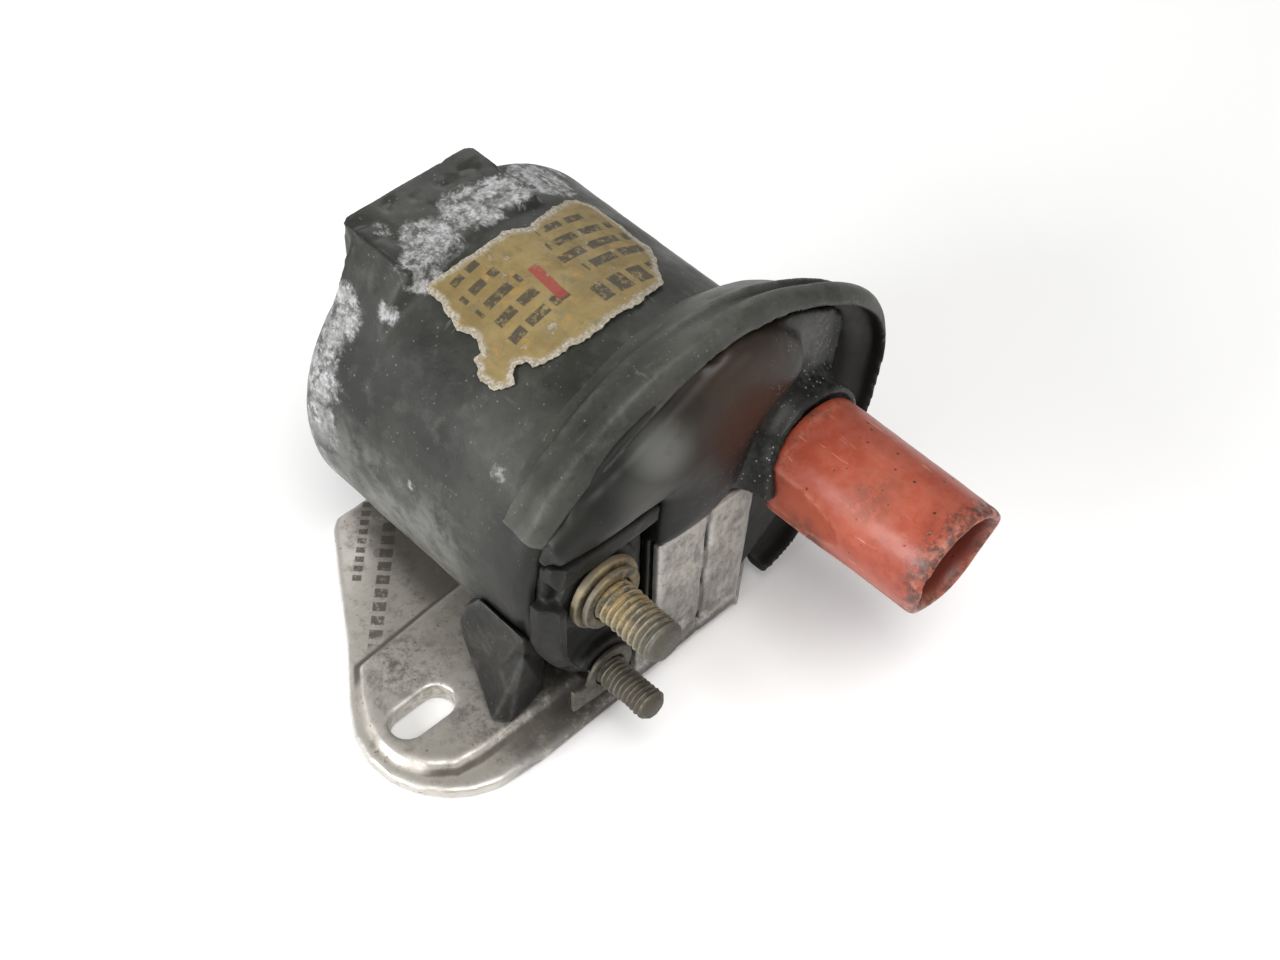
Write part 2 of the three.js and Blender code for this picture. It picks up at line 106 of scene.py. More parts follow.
def lathe(profile, x=0.0, z=AX, seg=96, closed=False):
    """profile [(r, y)] about an axis along Y"""
    v, f, n = [], [], len(profile)
    for k in range(seg):
        a = 2 * math.pi * k / seg
        for r, y in profile:
            v.append((x + r * math.sin(a), y, z + r * math.cos(a)))
    m = n if closed else n - 1
    for k in range(seg):
        k2 = (k + 1) % seg
        for j in range(m):
            j2 = (j + 1) % n
            q = [k * n + j, k2 * n + j, k2 * n + j2, k * n + j2]
            f.append(q)
    o = raw(v, f)
    bm = bmesh.new(); bm.from_mesh(o.data)
    bmesh.ops.dissolve_degenerate(bm, dist=1e-6, edges=bm.edges)
    bmesh.ops.recalc_face_normals(bm, faces=bm.faces)
    bm.to_mesh(o.data); bm.free()
    return o

def rod(x, z, r, y0, y1, seg=64):
    return lathe([(0, y0), (r, y0), (r, y1), (0, y1)], x, z, seg)

def tube(x, z, r0, r1, y0, y1, seg=96):
    return lathe([(r0, y0), (r1, y0), (r1, y1), (r0, y1)], x, z, seg, True)

def prism(points, lo, hi, plane="xy"):
    n = len(points)
    def at(p, h):
        return (p[0], p[1], h) if plane == "xy" else (p[0], h, p[1])
    v = [at(p, lo) for p in points] + [at(p, hi) for p in points]
    f = [tuple(range(n)), tuple(range(2 * n - 1, n - 1, -1))] + [(i, (i + 1) % n, n + (i + 1) % n, n + i) for i in range(n)]
    return raw(v, f)

def ellipsoid(c, r, seg=96):
    bm = bmesh.new(); bmesh.ops.create_uvsphere(bm, u_segments=seg, v_segments=seg // 2, radius=1.0)
    for v in bm.verts: v.co = Vector((c[0] + v.co.x * r[0], c[1] + v.co.y * r[1], c[2] + v.co.z * r[2]))
    me = bpy.data.meshes.new("tmp"); bm.to_mesh(me); bm.free()
    o = bpy.data.objects.new("tmp", me); bpy.context.scene.collection.objects.link(o)
    return o

def bake(o):
    dg = bpy.context.evaluated_depsgraph_get()
    me = bpy.data.meshes.new_from_object(o.evaluated_get(dg))
    o.modifiers.clear(); old = o.data; o.data = me
    if old.users == 0: bpy.data.meshes.remove(old)
    return o

def drop(o):
    me = o.data; bpy.data.objects.remove(o)
    if me.users == 0: bpy.data.meshes.remove(me)

def cut(a, *tools, op="DIFFERENCE"):
    for b in tools:
        m = a.modifiers.new("b", "BOOLEAN"); m.operation = op; m.object = b; m.solver = "EXACT"
        bake(a); drop(b)
    return a

def join(*objs):
    bm = bmesh.new()
    for o in objs: bm.from_mesh(o.data)
    me = bpy.data.meshes.new("tmp"); bm.to_mesh(me); bm.free()
    for o in objs: drop(o)
    o = bpy.data.objects.new("tmp", me); bpy.context.scene.collection.objects.link(o)
    return o

def remesh(o, voxel, smooth=4, factor=0.5):
    m = o.modifiers.new("r", "REMESH"); m.mode = "VOXEL"; m.voxel_size = voxel; m.adaptivity = 0.0
    bake(o)
    if smooth:
        m = o.modifiers.new("s", "SMOOTH"); m.factor = factor; m.iterations = smooth
        bake(o)
    return o

def coords(o):
    co = np.empty(len(o.data.vertices) * 3); o.data.vertices.foreach_get("co", co); return co.reshape(-1, 3)

def normals(o):
    n = np.empty(len(o.data.vertices) * 3); o.data.vertices.foreach_get("normal", n); return n.reshape(-1, 3)

def setco(o, co):
    o.data.vertices.foreach_set("co", np.ascontiguousarray(co, float).ravel()); o.data.update()

def push(o, fn):
    co, n = coords(o), normals(o); setco(o, co + n * fn(co, n)[:, None]); return o

def attr(o, name, values):
    a = o.data.attributes.get(name) or o.data.attributes.new(name, "FLOAT", "POINT")
    a.data.foreach_set("value", np.ascontiguousarray(values, np.float32))

def grid(rows, close_u=False, close_v=True, cap=True, name="tmp"):
    """rows: list of rings of points"""
    n = len(rows[0]); v = [p for r in rows for p in r]; f = []
    m = len(rows)
    for i in range(m if close_u else m - 1):
        i2 = (i + 1) % m
        for j in range(n if close_v else n - 1):
            j2 = (j + 1) % n
            f.append((i * n + j, i2 * n + j, i2 * n + j2, i * n + j2))
    if cap and not close_u:
        f.append(tuple(range(n))); f.append(tuple((m - 1) * n + j for j in range(n - 1, -1, -1)))
    return raw(v, f, name)

def crease_free(o):
    for p in o.data.polygons: p.use_smooth = True
    return o

def finish(o, name, material, nodes=(), flat=None):
    """mm, Y from the plate's front edge -> metres, row frame"""
    co = coords(o); co[:, 1] -= DEPTH / 2; setco(o, co / 1000.0)
    o.name = name; o.data.name = name
    crease_free(o)
    if flat is not None: o.data.set_sharp_from_angle(angle=rad(flat))
    o.data.materials.clear(); o.data.materials.append(material)
    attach(o, "root")
    if nodes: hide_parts(*nodes)
    return o

# ------------------------------------------------------------------ materials
class Mat:
    def __init__(self, name):
        self.m = bpy.data.materials.new(name); self.m.use_nodes = True
        self.t = self.m.node_tree; self.t.nodes.clear()
        self.out = self.t.nodes.new("ShaderNodeOutputMaterial")
        self.b = self.t.nodes.new("ShaderNodeBsdfPrincipled")
        self.t.links.new(self.b.outputs[0], self.out.inputs[0])
        self.tc = self.t.nodes.new("ShaderNodeTexCoord").outputs["Object"]
    def _in(self, sock, v):
        if isinstance(v, bpy.types.NodeSocket): self.t.links.new(v, sock)
        elif v is not None:
            try: sock.default_value = v
            except Exception: sock.default_value = (*v, 1.0)
    def node(self, kind, **kw):
        n = self.t.nodes.new(kind)
        for k, v in kw.items(): setattr(n, k, v)
        return n
    def scaled(self, sx, sy, sz, rot=(0, 0, 0), loc=(0, 0, 0)):
        n = self.node("ShaderNodeMapping"); self._in(n.inputs["Vector"], self.tc)
        n.inputs["Scale"].default_value = (sx, sy, sz); n.inputs["Rotation"].default_value = rot; n.inputs["Location"].default_value = loc
        return n.outputs[0]
    def noise(self, mm, detail=4.0, rough=0.55, vec=None, lac=2.0, dist=0.0, off=0.0):
        n = self.node("ShaderNodeTexNoise"); n.noise_dimensions = "4D" if off else "3D"
        self._in(n.inputs["Vector"], vec or self.tc)
        n.inputs["Scale"].default_value = 1000.0 / mm; n.inputs["Detail"].default_value = detail
        n.inputs["Roughness"].default_value = rough; n.inputs["Lacunarity"].default_value = lac; n.inputs["Distortion"].default_value = dist
        if off: n.inputs["W"].default_value = off
        return n.outputs[0]
    def voronoi(self, mm, feature="F1", out="Distance", vec=None, rnd=1.0):
        n = self.node("ShaderNodeTexVoronoi"); n.feature = feature
        self._in(n.inputs["Vector"], vec or self.tc); n.inputs["Scale"].default_value = 1000.0 / mm; n.inputs["Randomness"].default_value = rnd
        return n.outputs[out]
    def ramp(self, fac, a, b, c0=0.0, c1=1.0):
        n = self.node("ShaderNodeMapRange"); n.interpolation_type = "SMOOTHSTEP"; n.clamp = True
        self._in(n.inputs["Value"], fac); n.inputs["From Min"].default_value = a; n.inputs["From Max"].default_value = b
        n.inputs["To Min"].default_value = c0; n.inputs["To Max"].default_value = c1
        return n.outputs[0]
    def math(self, op, a, b=None, c=None, clamp=False):
        n = self.node("ShaderNodeMath"); n.operation = op; n.use_clamp = clamp
        self._in(n.inputs[0], a)
        if b is not None: self._in(n.inputs[1], b)
        if c is not None: self._in(n.inputs[2], c)
        return n.outputs[0]
    def add(self, *a):
        r = a[0]
        for x in a[1:]: r = self.math("ADD", r, x)
        return r
    def mul(self, *a):
        r = a[0]
        for x in a[1:]: r = self.math("MULTIPLY", r, x)
        return r
    def mix(self, fac, a, b, blend="MIX"):
        n = self.node("ShaderNodeMix"); n.data_type = "RGBA"; n.blend_type = blend; n.clamp_factor = True
        self._in(n.inputs[0], fac); self._in(n.inputs[6], a if isinstance(a, bpy.types.NodeSocket) else (*a, 1)); self._in(n.inputs[7], b if isinstance(b, bpy.types.NodeSocket) else (*b, 1))
        return n.outputs[2]
    def xyz(self):
        n = self.node("ShaderNodeSeparateXYZ"); self._in(n.inputs[0], self.tc)
        # back to millimetres, Y from the plate's front edge
        return (self.mul(n.outputs[0], 1000.0), self.add(self.mul(n.outputs[1], 1000.0), DEPTH / 2), self.mul(n.outputs[2], 1000.0))
    def attribute(self, name):
        n = self.node("ShaderNodeAttribute"); n.attribute_name = name; return n.outputs["Fac"]
    def blob(self, c, r, soft=1.0):
        """1 inside a ball of radius r mm round c (plate-edge frame), falling to 0 at r*(1+soft)"""
        n = self.node("ShaderNodeVectorMath"); n.operation = "DISTANCE"; self._in(n.inputs[0], self.tc)
        n.inputs[1].default_value = (c[0] / 1000, (c[1] - DEPTH / 2) / 1000, c[2] / 1000)
        return self.ramp(n.outputs["Value"], r / 1000 * (1 + soft), r / 1000 * max(0.0, 1 - soft))
    def bump(self, height, strength=0.3, dist_mm=0.1, prev=None):
        n = self.node("ShaderNodeBump"); n.inputs["Strength"].default_value = strength; n.inputs["Distance"].default_value = dist_mm / 1000
        self._in(n.inputs["Height"], height)
        if prev is not None: self._in(n.inputs["Normal"], prev)
        return n.outputs[0]
    def done(self, color, rough, metal=0.0, normal=None, **kw):
        self._in(self.b.inputs["Base Color"], color if isinstance(color, bpy.types.NodeSocket) else (*color, 1))
        self._in(self.b.inputs["Roughness"], rough); self._in(self.b.inputs["Metallic"], metal)
        if normal is not None: self._in(self.b.inputs["Normal"], normal)
        for k, v in kw.items(): self.b.inputs[k].default_value = v
        return self.m

def black_plastic(name, base=(0.012, 0.013, 0.011), light=(0.036, 0.037, 0.031), scuffs=(), edge_crease=None, rough=(0.42, 0.62), dust=0.12, grain=0.35, hollow=False):
    m = Mat(name)
    big = m.noise(22, 5, 0.6); mid = m.noise(4.5, 6, 0.65, off=3.1); fine = m.noise(0.7, 4, 0.6, off=1.7)
    col = m.mix(m.ramp(big, 0.35, 0.7), base, light)
    col = m.mix(m.ramp(mid, 0.50, 0.70, 0.0, 0.55), col, (0.060, 0.060, 0.051))
    col = m.mix(m.ramp(m.noise(2.2, 7, 0.75, off=11.0), 0.56, 0.68, 0.0, 0.7), col, (0.012, 0.012, 0.010))
    col = m.mix(m.ramp(fine, 0.60, 0.78, 0.0, dust * 2.2), col, (0.13, 0.128, 0.115))
    spd = m.mul(m.ramp(m.voronoi(1.15), 0.20, 0.08), m.ramp(m.noise(3.0, 4, 0.6, off=19.0), 0.50, 0.60))
    col = m.mix(m.mul(spd, 0.55), col, (0.19, 0.19, 0.175))
    # fine scratches, mostly along and across the axis
    s1 = m.noise(1.0, 3, 0.5, vec=m.scaled(1.0, 0.06, 1.0, (0, 0, 0.25)), off=5.0)
    s2 = m.noise(1.2, 3, 0.5, vec=m.scaled(0.05, 1.0, 0.35, (0, 0, 0.6)), off=9.0)
    scr = m.math("MAXIMUM", m.ramp(s1, 0.66, 0.71), m.ramp(s2, 0.68, 0.73))
    scr = m.mul(scr, m.ramp(m.noise(14, 3, 0.5, off=7.7), 0.45, 0.62))
    col = m.mix(m.mul(scr, 0.45), col, (0.16, 0.16, 0.145))
    patch = None
    if scuffs:
        n1 = m.noise(6.0, 9, 0.72, off=2.2, dist=0.9); n2 = m.noise(1.3, 7, 0.75, vec=m.scaled(1, 0.45, 1, (0, 0, 0.5)), off=4.4)
        for c, r, k in scuffs:
            b = m.blob(c, r, 0.9)
            v = m.add(m.mul(b, k), m.mul(n1, 0.95), m.mul(n2, 0.45))
            v = m.mul(m.ramp(v, 1.13, 1.30), m.ramp(m.noise(2.4, 7, 0.72, off=51.0), 0.41, 0.51, 0.2, 1.0))
            v = m.mul(v, m.ramp(b, 0.02, 0.25))
            patch = v if patch is None else m.math("MAXIMUM", patch, v)
        tone = m.mix(m.ramp(m.noise(1.1, 6, 0.7, off=8.1), 0.35, 0.7), (0.14, 0.14, 0.135), (0.50, 0.50, 0.51))
        col = m.mix(patch, col, tone)
    if edge_crease:
        w = m.attribute(edge_crease)
        wn = m.mul(w, m.ramp(m.noise(3.5, 6, 0.7, off=6.6), 0.36, 0.62))
        col = m.mix(m.mul(wn, 0.55), col, (0.13, 0.13, 0.118))
        # painted shade in the grooves and creases
        groove = m.ramp(w, -0.15, -0.9)
        col = m.mix(m.mul(groove, 0.85), col, (0.007, 0.007, 0.006))
        # painted shade on the hollow side of the wing
        if hollow: col = m.mix(m.mul(m.attribute("hollow"), 0.9), col, (0.008, 0.008, 0.007))
    if name == "moulding_pot":
        x, y, z = m.xyz()
        # painted shade low at the front, where the pot meets the terminals; a painted sheen low on the left side
        front_shade = m.mul(m.ramp(y, 21, 9), m.ramp(z, 58, 44), m.ramp(x, -14, -24), m.ramp(mid, 0.25, 0.5, 0.6, 1.0))
        col = m.mix(m.mul(front_shade, 0.85), col, (0.010, 0.010, 0.009))
        # painted sheen: a lighter band low on the left side
        left_sheen = m.mul(m.ramp(z, 50, 40), m.ramp(z, 8, 20), m.ramp(x, -20, -30), m.ramp(y, 14, 26), m.ramp(m.noise(5.5, 7, 0.7, off=14.0), 0.36, 0.62))
        col = m.mix(m.mul(left_sheen, 0.75), col, (0.135, 0.135, 0.125))
        edge = m.mul(m.ramp(y, 53, 60), m.ramp(x, -22, -30), m.ramp(m.noise(3.4, 8, 0.75, off=18.0), 0.46, 0.60))
        col = m.mix(m.mul(edge, 0.8), col, (0.26, 0.26, 0.255))
    r = m.ramp(m.noise(9, 5, 0.6, off=2.9), 0.3, 0.7, rough[0], rough[1])
    if patch is not None: r = m.add(r, m.mul(patch, 0.22))
    nb = m.bump(m.noise(0.45, 3, 0.6, off=3.3), grain, 0.06)
    nb = m.bump(m.noise(3.0, 4, 0.6, off=1.3), 0.25, 0.25, nb)
    nb = m.bump(scr, 0.25, -0.05, nb)
    if patch is not None: nb = m.bump(patch, 0.5, 0.10, nb)
    return m.done(col, r, 0.0, nb, **{"Specular IOR Level": 0.30})

# ------------------------------------------------------------------ the materials in use
POT_SCUFFS = [((-31, 59, 50), 7.5, 0.70), ((-26, 60, 60), 6.5, 0.80), ((-33, 57, 40), 7.0, 0.66), ((-31.5, 60.5, 26), 7.0, 0.60), ((-22, 50, 64), 3.4, 0.62),
              ((-10, 53, 71), 6.0, 0.74), ((-1, 54, 71.5), 6.5, 0.80), ((6, 53, 71), 5.5, 0.80), ((16, 55, 67.5), 6.5, 0.86), ((-15, 50.5, 69), 4.6, 0.84), ((27, 46, 58), 5.0, 0.62), ((29, 58, 53), 5.0, 0.62), ((-15, 60, 71), 3.0, 0.5),
              ((22, 59, 62), 5.0, 0.55), ((-33, 33, 44), 2.2, 0.50), ((-28, 17, 57), 2.6, 0.62), ((-27, 24, 58), 1.6, 0.45)]
M_POT = black_plastic("moulding_pot", scuffs=POT_SCUFFS, rough=(0.36, 0.56))
M_HOOD = black_plastic("moulding_hood", base=(0.022, 0.023, 0.019), light=(0.048, 0.049, 0.041), edge_crease="edge_crease", rough=(0.40, 0.6), dust=0.16, hollow=True)
M_FOOT = black_plastic("moulding_foot", base=(0.007, 0.0075, 0.0075), light=(0.018, 0.018, 0.016), edge_crease="edge_crease", rough=(0.42, 0.6), dust=0.22)

def carrier_mat():
    m = Mat("moulding_terminals")
    big = m.noise(8, 6, 0.65); fine = m.noise(0.9, 5, 0.65, off=2.0)
    col = m.mix(m.ramp(big, 0.35, 0.7), (0.006, 0.006, 0.005), (0.015, 0.015, 0.013))
    col = m.mix(m.ramp(fine, 0.56, 0.76, 0, 0.4), col, (0.05, 0.045, 0.035))
    x, y, z = m.xyz()
    low = m.mul(m.ramp(z, 18, 5), m.ramp(m.noise(3.0, 6, 0.7, off=5.1), 0.42, 0.62))
    col = m.mix(m.mul(low, 0.6), col, (0.07, 0.06, 0.045))
    nb = m.bump(fine, 0.5, 0.12); nb = m.bump(m.noise(2.5, 4, 0.6), 0.3, 0.3, nb)
    return m.done(col, m.ramp(big, 0.3, 0.7, 0.42, 0.68), 0.0, nb, **{"Specular IOR Level": 0.25})
M_CARRIER = carrier_mat()

def cap_mat():
    m = Mat("moulding_cap")
    big = m.noise(15, 5, 0.6); fine = m.noise(0.8, 4, 0.6, off=2.0)
    col = m.mix(m.ramp(big, 0.35, 0.7), (0.006, 0.006, 0.0055), (0.014, 0.014, 0.012))
    # painted reflection of the red tower: a brown patch in the middle of the dome
    tower_reflection = m.mul(m.blob((8, -1.5, 63), 10.5, 0.75), m.ramp(m.noise(8, 4, 0.5, off=3.7), 0.15, 0.5))
    col = m.mix(m.mul(tower_reflection, 0.9), col, (0.040, 0.024, 0.016))
    # painted highlight beside it: a grey window reflection
    window_highlight = m.mul(m.math("MAXIMUM", m.blob((-9.5, -2, 62.5), 4.6, 0.8), m.mul(m.blob((-13.5, -2.5, 57.0), 4.5, 0.9), 0.5)), m.ramp(m.noise(6, 5, 0.6, off=1.2), 0.15, 0.5))
    col = m.mix(m.mul(window_highlight, 0.85), col, (0.125, 0.125, 0.115))
    lp = m.mul(m.blob((27.5, 0.2, 60.5), 3.2, 0.9), m.ramp(m.noise(2.4, 6, 0.7, off=4.9), 0.3, 0.6))
    col = m.mix(m.mul(lp, 0.8), col, (0.10, 0.10, 0.092))
    # dust specks near the tower and along the lower edge
    sp = m.ramp(m.voronoi(0.95), 0.24, 0.12)
    zone = m.math("MAXIMUM", m.math("MAXIMUM", m.blob((13, -3, 43), 11, 0.8), m.mul(m.blob((22, -2, 58), 9, 0.8), 0.8)), m.mul(m.blob((36, 3, 50), 14, 0.6), 0.9))
    pick = m.ramp(m.noise(2.2, 3, 0.6, off=6.0), 0.42, 0.54)
    haze = m.mul(m.math("MAXIMUM", m.blob((34, 3, 58), 9, 0.8), m.mul(m.blob((16, -3, 44), 6, 0.9), 0.4)), m.ramp(m.noise(1.4, 7, 0.78, off=16.0), 0.42, 0.62))
    col = m.mix(m.mul(haze, 0.8), col, (0.085, 0.085, 0.078))
    xc, yc, zc = m.xyz()
    # painted shade at the right end, inside the hollow of the wing
    col = m.mix(m.mul(m.ramp(m.add(xc, m.mul(m.noise(3.0, 5, 0.6, off=61.0), 8.0)), 36.0, 42.0), 0.9), col, (0.004, 0.004, 0.004))
    spk = m.mul(sp, zone, pick)
    col = m.mix(m.mul(spk, 0.9), col, (0.30, 0.30, 0.28))
    col = m.mix(m.ramp(fine, 0.62, 0.8, 0, 0.3), col, (0.07, 0.07, 0.06))
    nb = m.bump(m.noise(0.5, 3, 0.6, off=3.3), 0.22, 0.05); nb = m.bump(spk, 0.6, 0.12, nb)
    return m.done(col, m.add(m.ramp(big, 0.3, 0.7, 0.34, 0.46), m.mul(spk, 0.3)), 0.0, nb, **{"Specular IOR Level": 0.24})
M_CAP = cap_mat()

def red_mat():
    m = Mat("tower_red")
    big = m.noise(12, 5, 0.6); mid = m.noise(2.5, 6, 0.7, off=2.5)
    col = m.mix(m.ramp(big, 0.3, 0.7), (0.29, 0.050, 0.026), (0.37, 0.080, 0.042))
    col = m.mix(m.ramp(mid, 0.50, 0.72, 0, 0.35), col, (0.215, 0.040, 0.025))
    # pale streaks and scratches along the tower
    s = m.noise(0.9, 4, 0.6, vec=m.scaled(1.0, 0.10, 1.0, (0.0, 0, 0.12)), off=4.0)
    scr = m.mul(m.ramp(s, 0.64, 0.70), m.ramp(m.noise(8, 3, 0.5, off=1.1), 0.45, 0.6))
    col = m.mix(m.mul(scr, 0.55), col, (0.72, 0.33, 0.24))
    # painted highlight along the ridges
    ridge = m.mul(m.attribute("ridge"), m.ramp(m.noise(2.0, 5, 0.7, off=8.0), 0.38, 0.58))
    col = m.mix(m.mul(ridge, 0.45), col, (0.62, 0.27, 0.20))
    # painted shade inside the bore
    col = m.mix(m.mul(m.attribute("bore"), 0.72), col, (0.13, 0.025, 0.018))
    lipd = m.mul(m.attribute("lip"), m.ramp(m.noise(2.0, 7, 0.75, off=12.5), 0.46, 0.58))
    col = m.mix(m.mul(lipd, 0.85), col, (0.05, 0.03, 0.024))
    # dark pits and specks
    pit = m.mul(m.ramp(m.voronoi(2.1), 0.17, 0.09), m.ramp(m.noise(4, 4, 0.6, off=5.5), 0.47, 0.58))
    col = m.mix(m.mul(pit, 0.9), col, (0.045, 0.018, 0.013))
    # grime at both ends; painted shade along the underside and on the lower-left flat; a dirt line high on the left
    # side
    x, y, z = m.xyz()
    tip = m.mul(m.ramp(y, -31.5, -37.0), m.ramp(m.noise(2.6, 7, 0.75, off=9.3), 0.44, 0.62))
    root = m.mul(m.ramp(y, -10, -3), m.ramp(m.noise(3.0, 6, 0.7, off=3.9), 0.44, 0.64))
    under = m.mul(m.ramp(z, 31, 26), m.ramp(m.noise(4.0, 6, 0.7, off=7.9), 0.46, 0.66))
    band = m.mul(m.math("MAXIMUM", m.blob((TX - 9.5, -13, TZ - 6.5), 4.5, 0.8), m.mul(m.blob((TX - 6, -22, TZ + 9.5), 4.0, 0.9), 0.6)), m.ramp(m.noise(2.2, 8, 0.75, off=29.0), 0.40, 0.56))
    g = m.math("MAXIMUM", m.math("MAXIMUM", m.math("MAXIMUM", m.mul(tip, 0.75), m.mul(root, 0.65)), m.mul(under, 0.75)), m.mul(band, 0.8))
    col = m.mix(g, col, (0.085, 0.045, 0.034))
    rough = m.add(m.ramp(big, 0.3, 0.7, 0.30, 0.44), m.mul(g, 0.25))
    nb = m.bump(m.noise(0.6, 3, 0.6, off=3.3), 0.18, 0.05); nb = m.bump(pit, 0.6, -0.18, nb); nb = m.bump(scr, 0.3, -0.05, nb)
    nb = m.bump(m.noise(5.0, 3, 0.5, off=2.3), 0.3, 0.35, nb)
    return m.done(col, rough, 0.0, nb, **{"Specular IOR Level": 0.36})
M_RED = red_mat()

def zinc_mat(name, tint=(0.50, 0.43, 0.28), dark=(0.20, 0.165, 0.11)):
    m = Mat(name)
    n1 = m.noise(2.6, 7, 0.7); n2 = m.noise(0.5, 5, 0.7, off=2.0)
    col = m.mix(m.ramp(n1, 0.34, 0.66), dark, tint)
    col = m.mix(m.ramp(n2, 0.52, 0.70, 0, 0.7), col, tuple(min(1, 1.25 * c) for c in tint))
    col = m.mix(m.ramp(m.noise(1.3, 7, 0.78, off=6.0), 0.50, 0.64, 0, 0.9), col, (0.060, 0.052, 0.038))
    w = m.attribute("edge_crease")
    col = m.mix(m.mul(m.ramp(w, -0.2, -0.9), 0.75), col, (0.075, 0.06, 0.04))
    col = m.mix(m.mul(m.ramp(w, 0.3, 0.9), 0.5), col, tuple(min(1, 1.45 * c + 0.03) for c in tint))
    # warmer towards the root of the large stud, dark and greasy at the tips
    x, y, z = m.xyz()
    col = m.mix(m.mul(m.blob((-21.2, -4.6, 40.5), 5.2, 0.9), m.ramp(n1, 0.40, 0.60), 0.7), col, (0.34, 0.235, 0.085))
    col = m.mix(m.mul(m.ramp(y, -9.5, -14.0), m.ramp(m.noise(3.5, 5, 0.6, off=13.0), 0.30, 0.55), 0.75), col, (0.085, 0.082, 0.072))
    nb = m.bump(n2, 0.55, 0.10); nb = m.bump(n1, 0.3, 0.15, nb)
    return m.done(col, m.ramp(n2, 0.3, 0.7, 0.46, 0.75), m.ramp(n1, 0.3, 0.7, 0.25, 0.65), nb)
M_ZINC = zinc_mat("zinc_yellow", (0.27, 0.245, 0.175), (0.085, 0.072, 0.048))
M_ZINC2 = zinc_mat("zinc_dull", (0.17, 0.145, 0.095), (0.045, 0.037, 0.024))
M_ZINC3 = zinc_mat("zinc_grey", (0.125, 0.115, 0.09), (0.030, 0.027, 0.020))

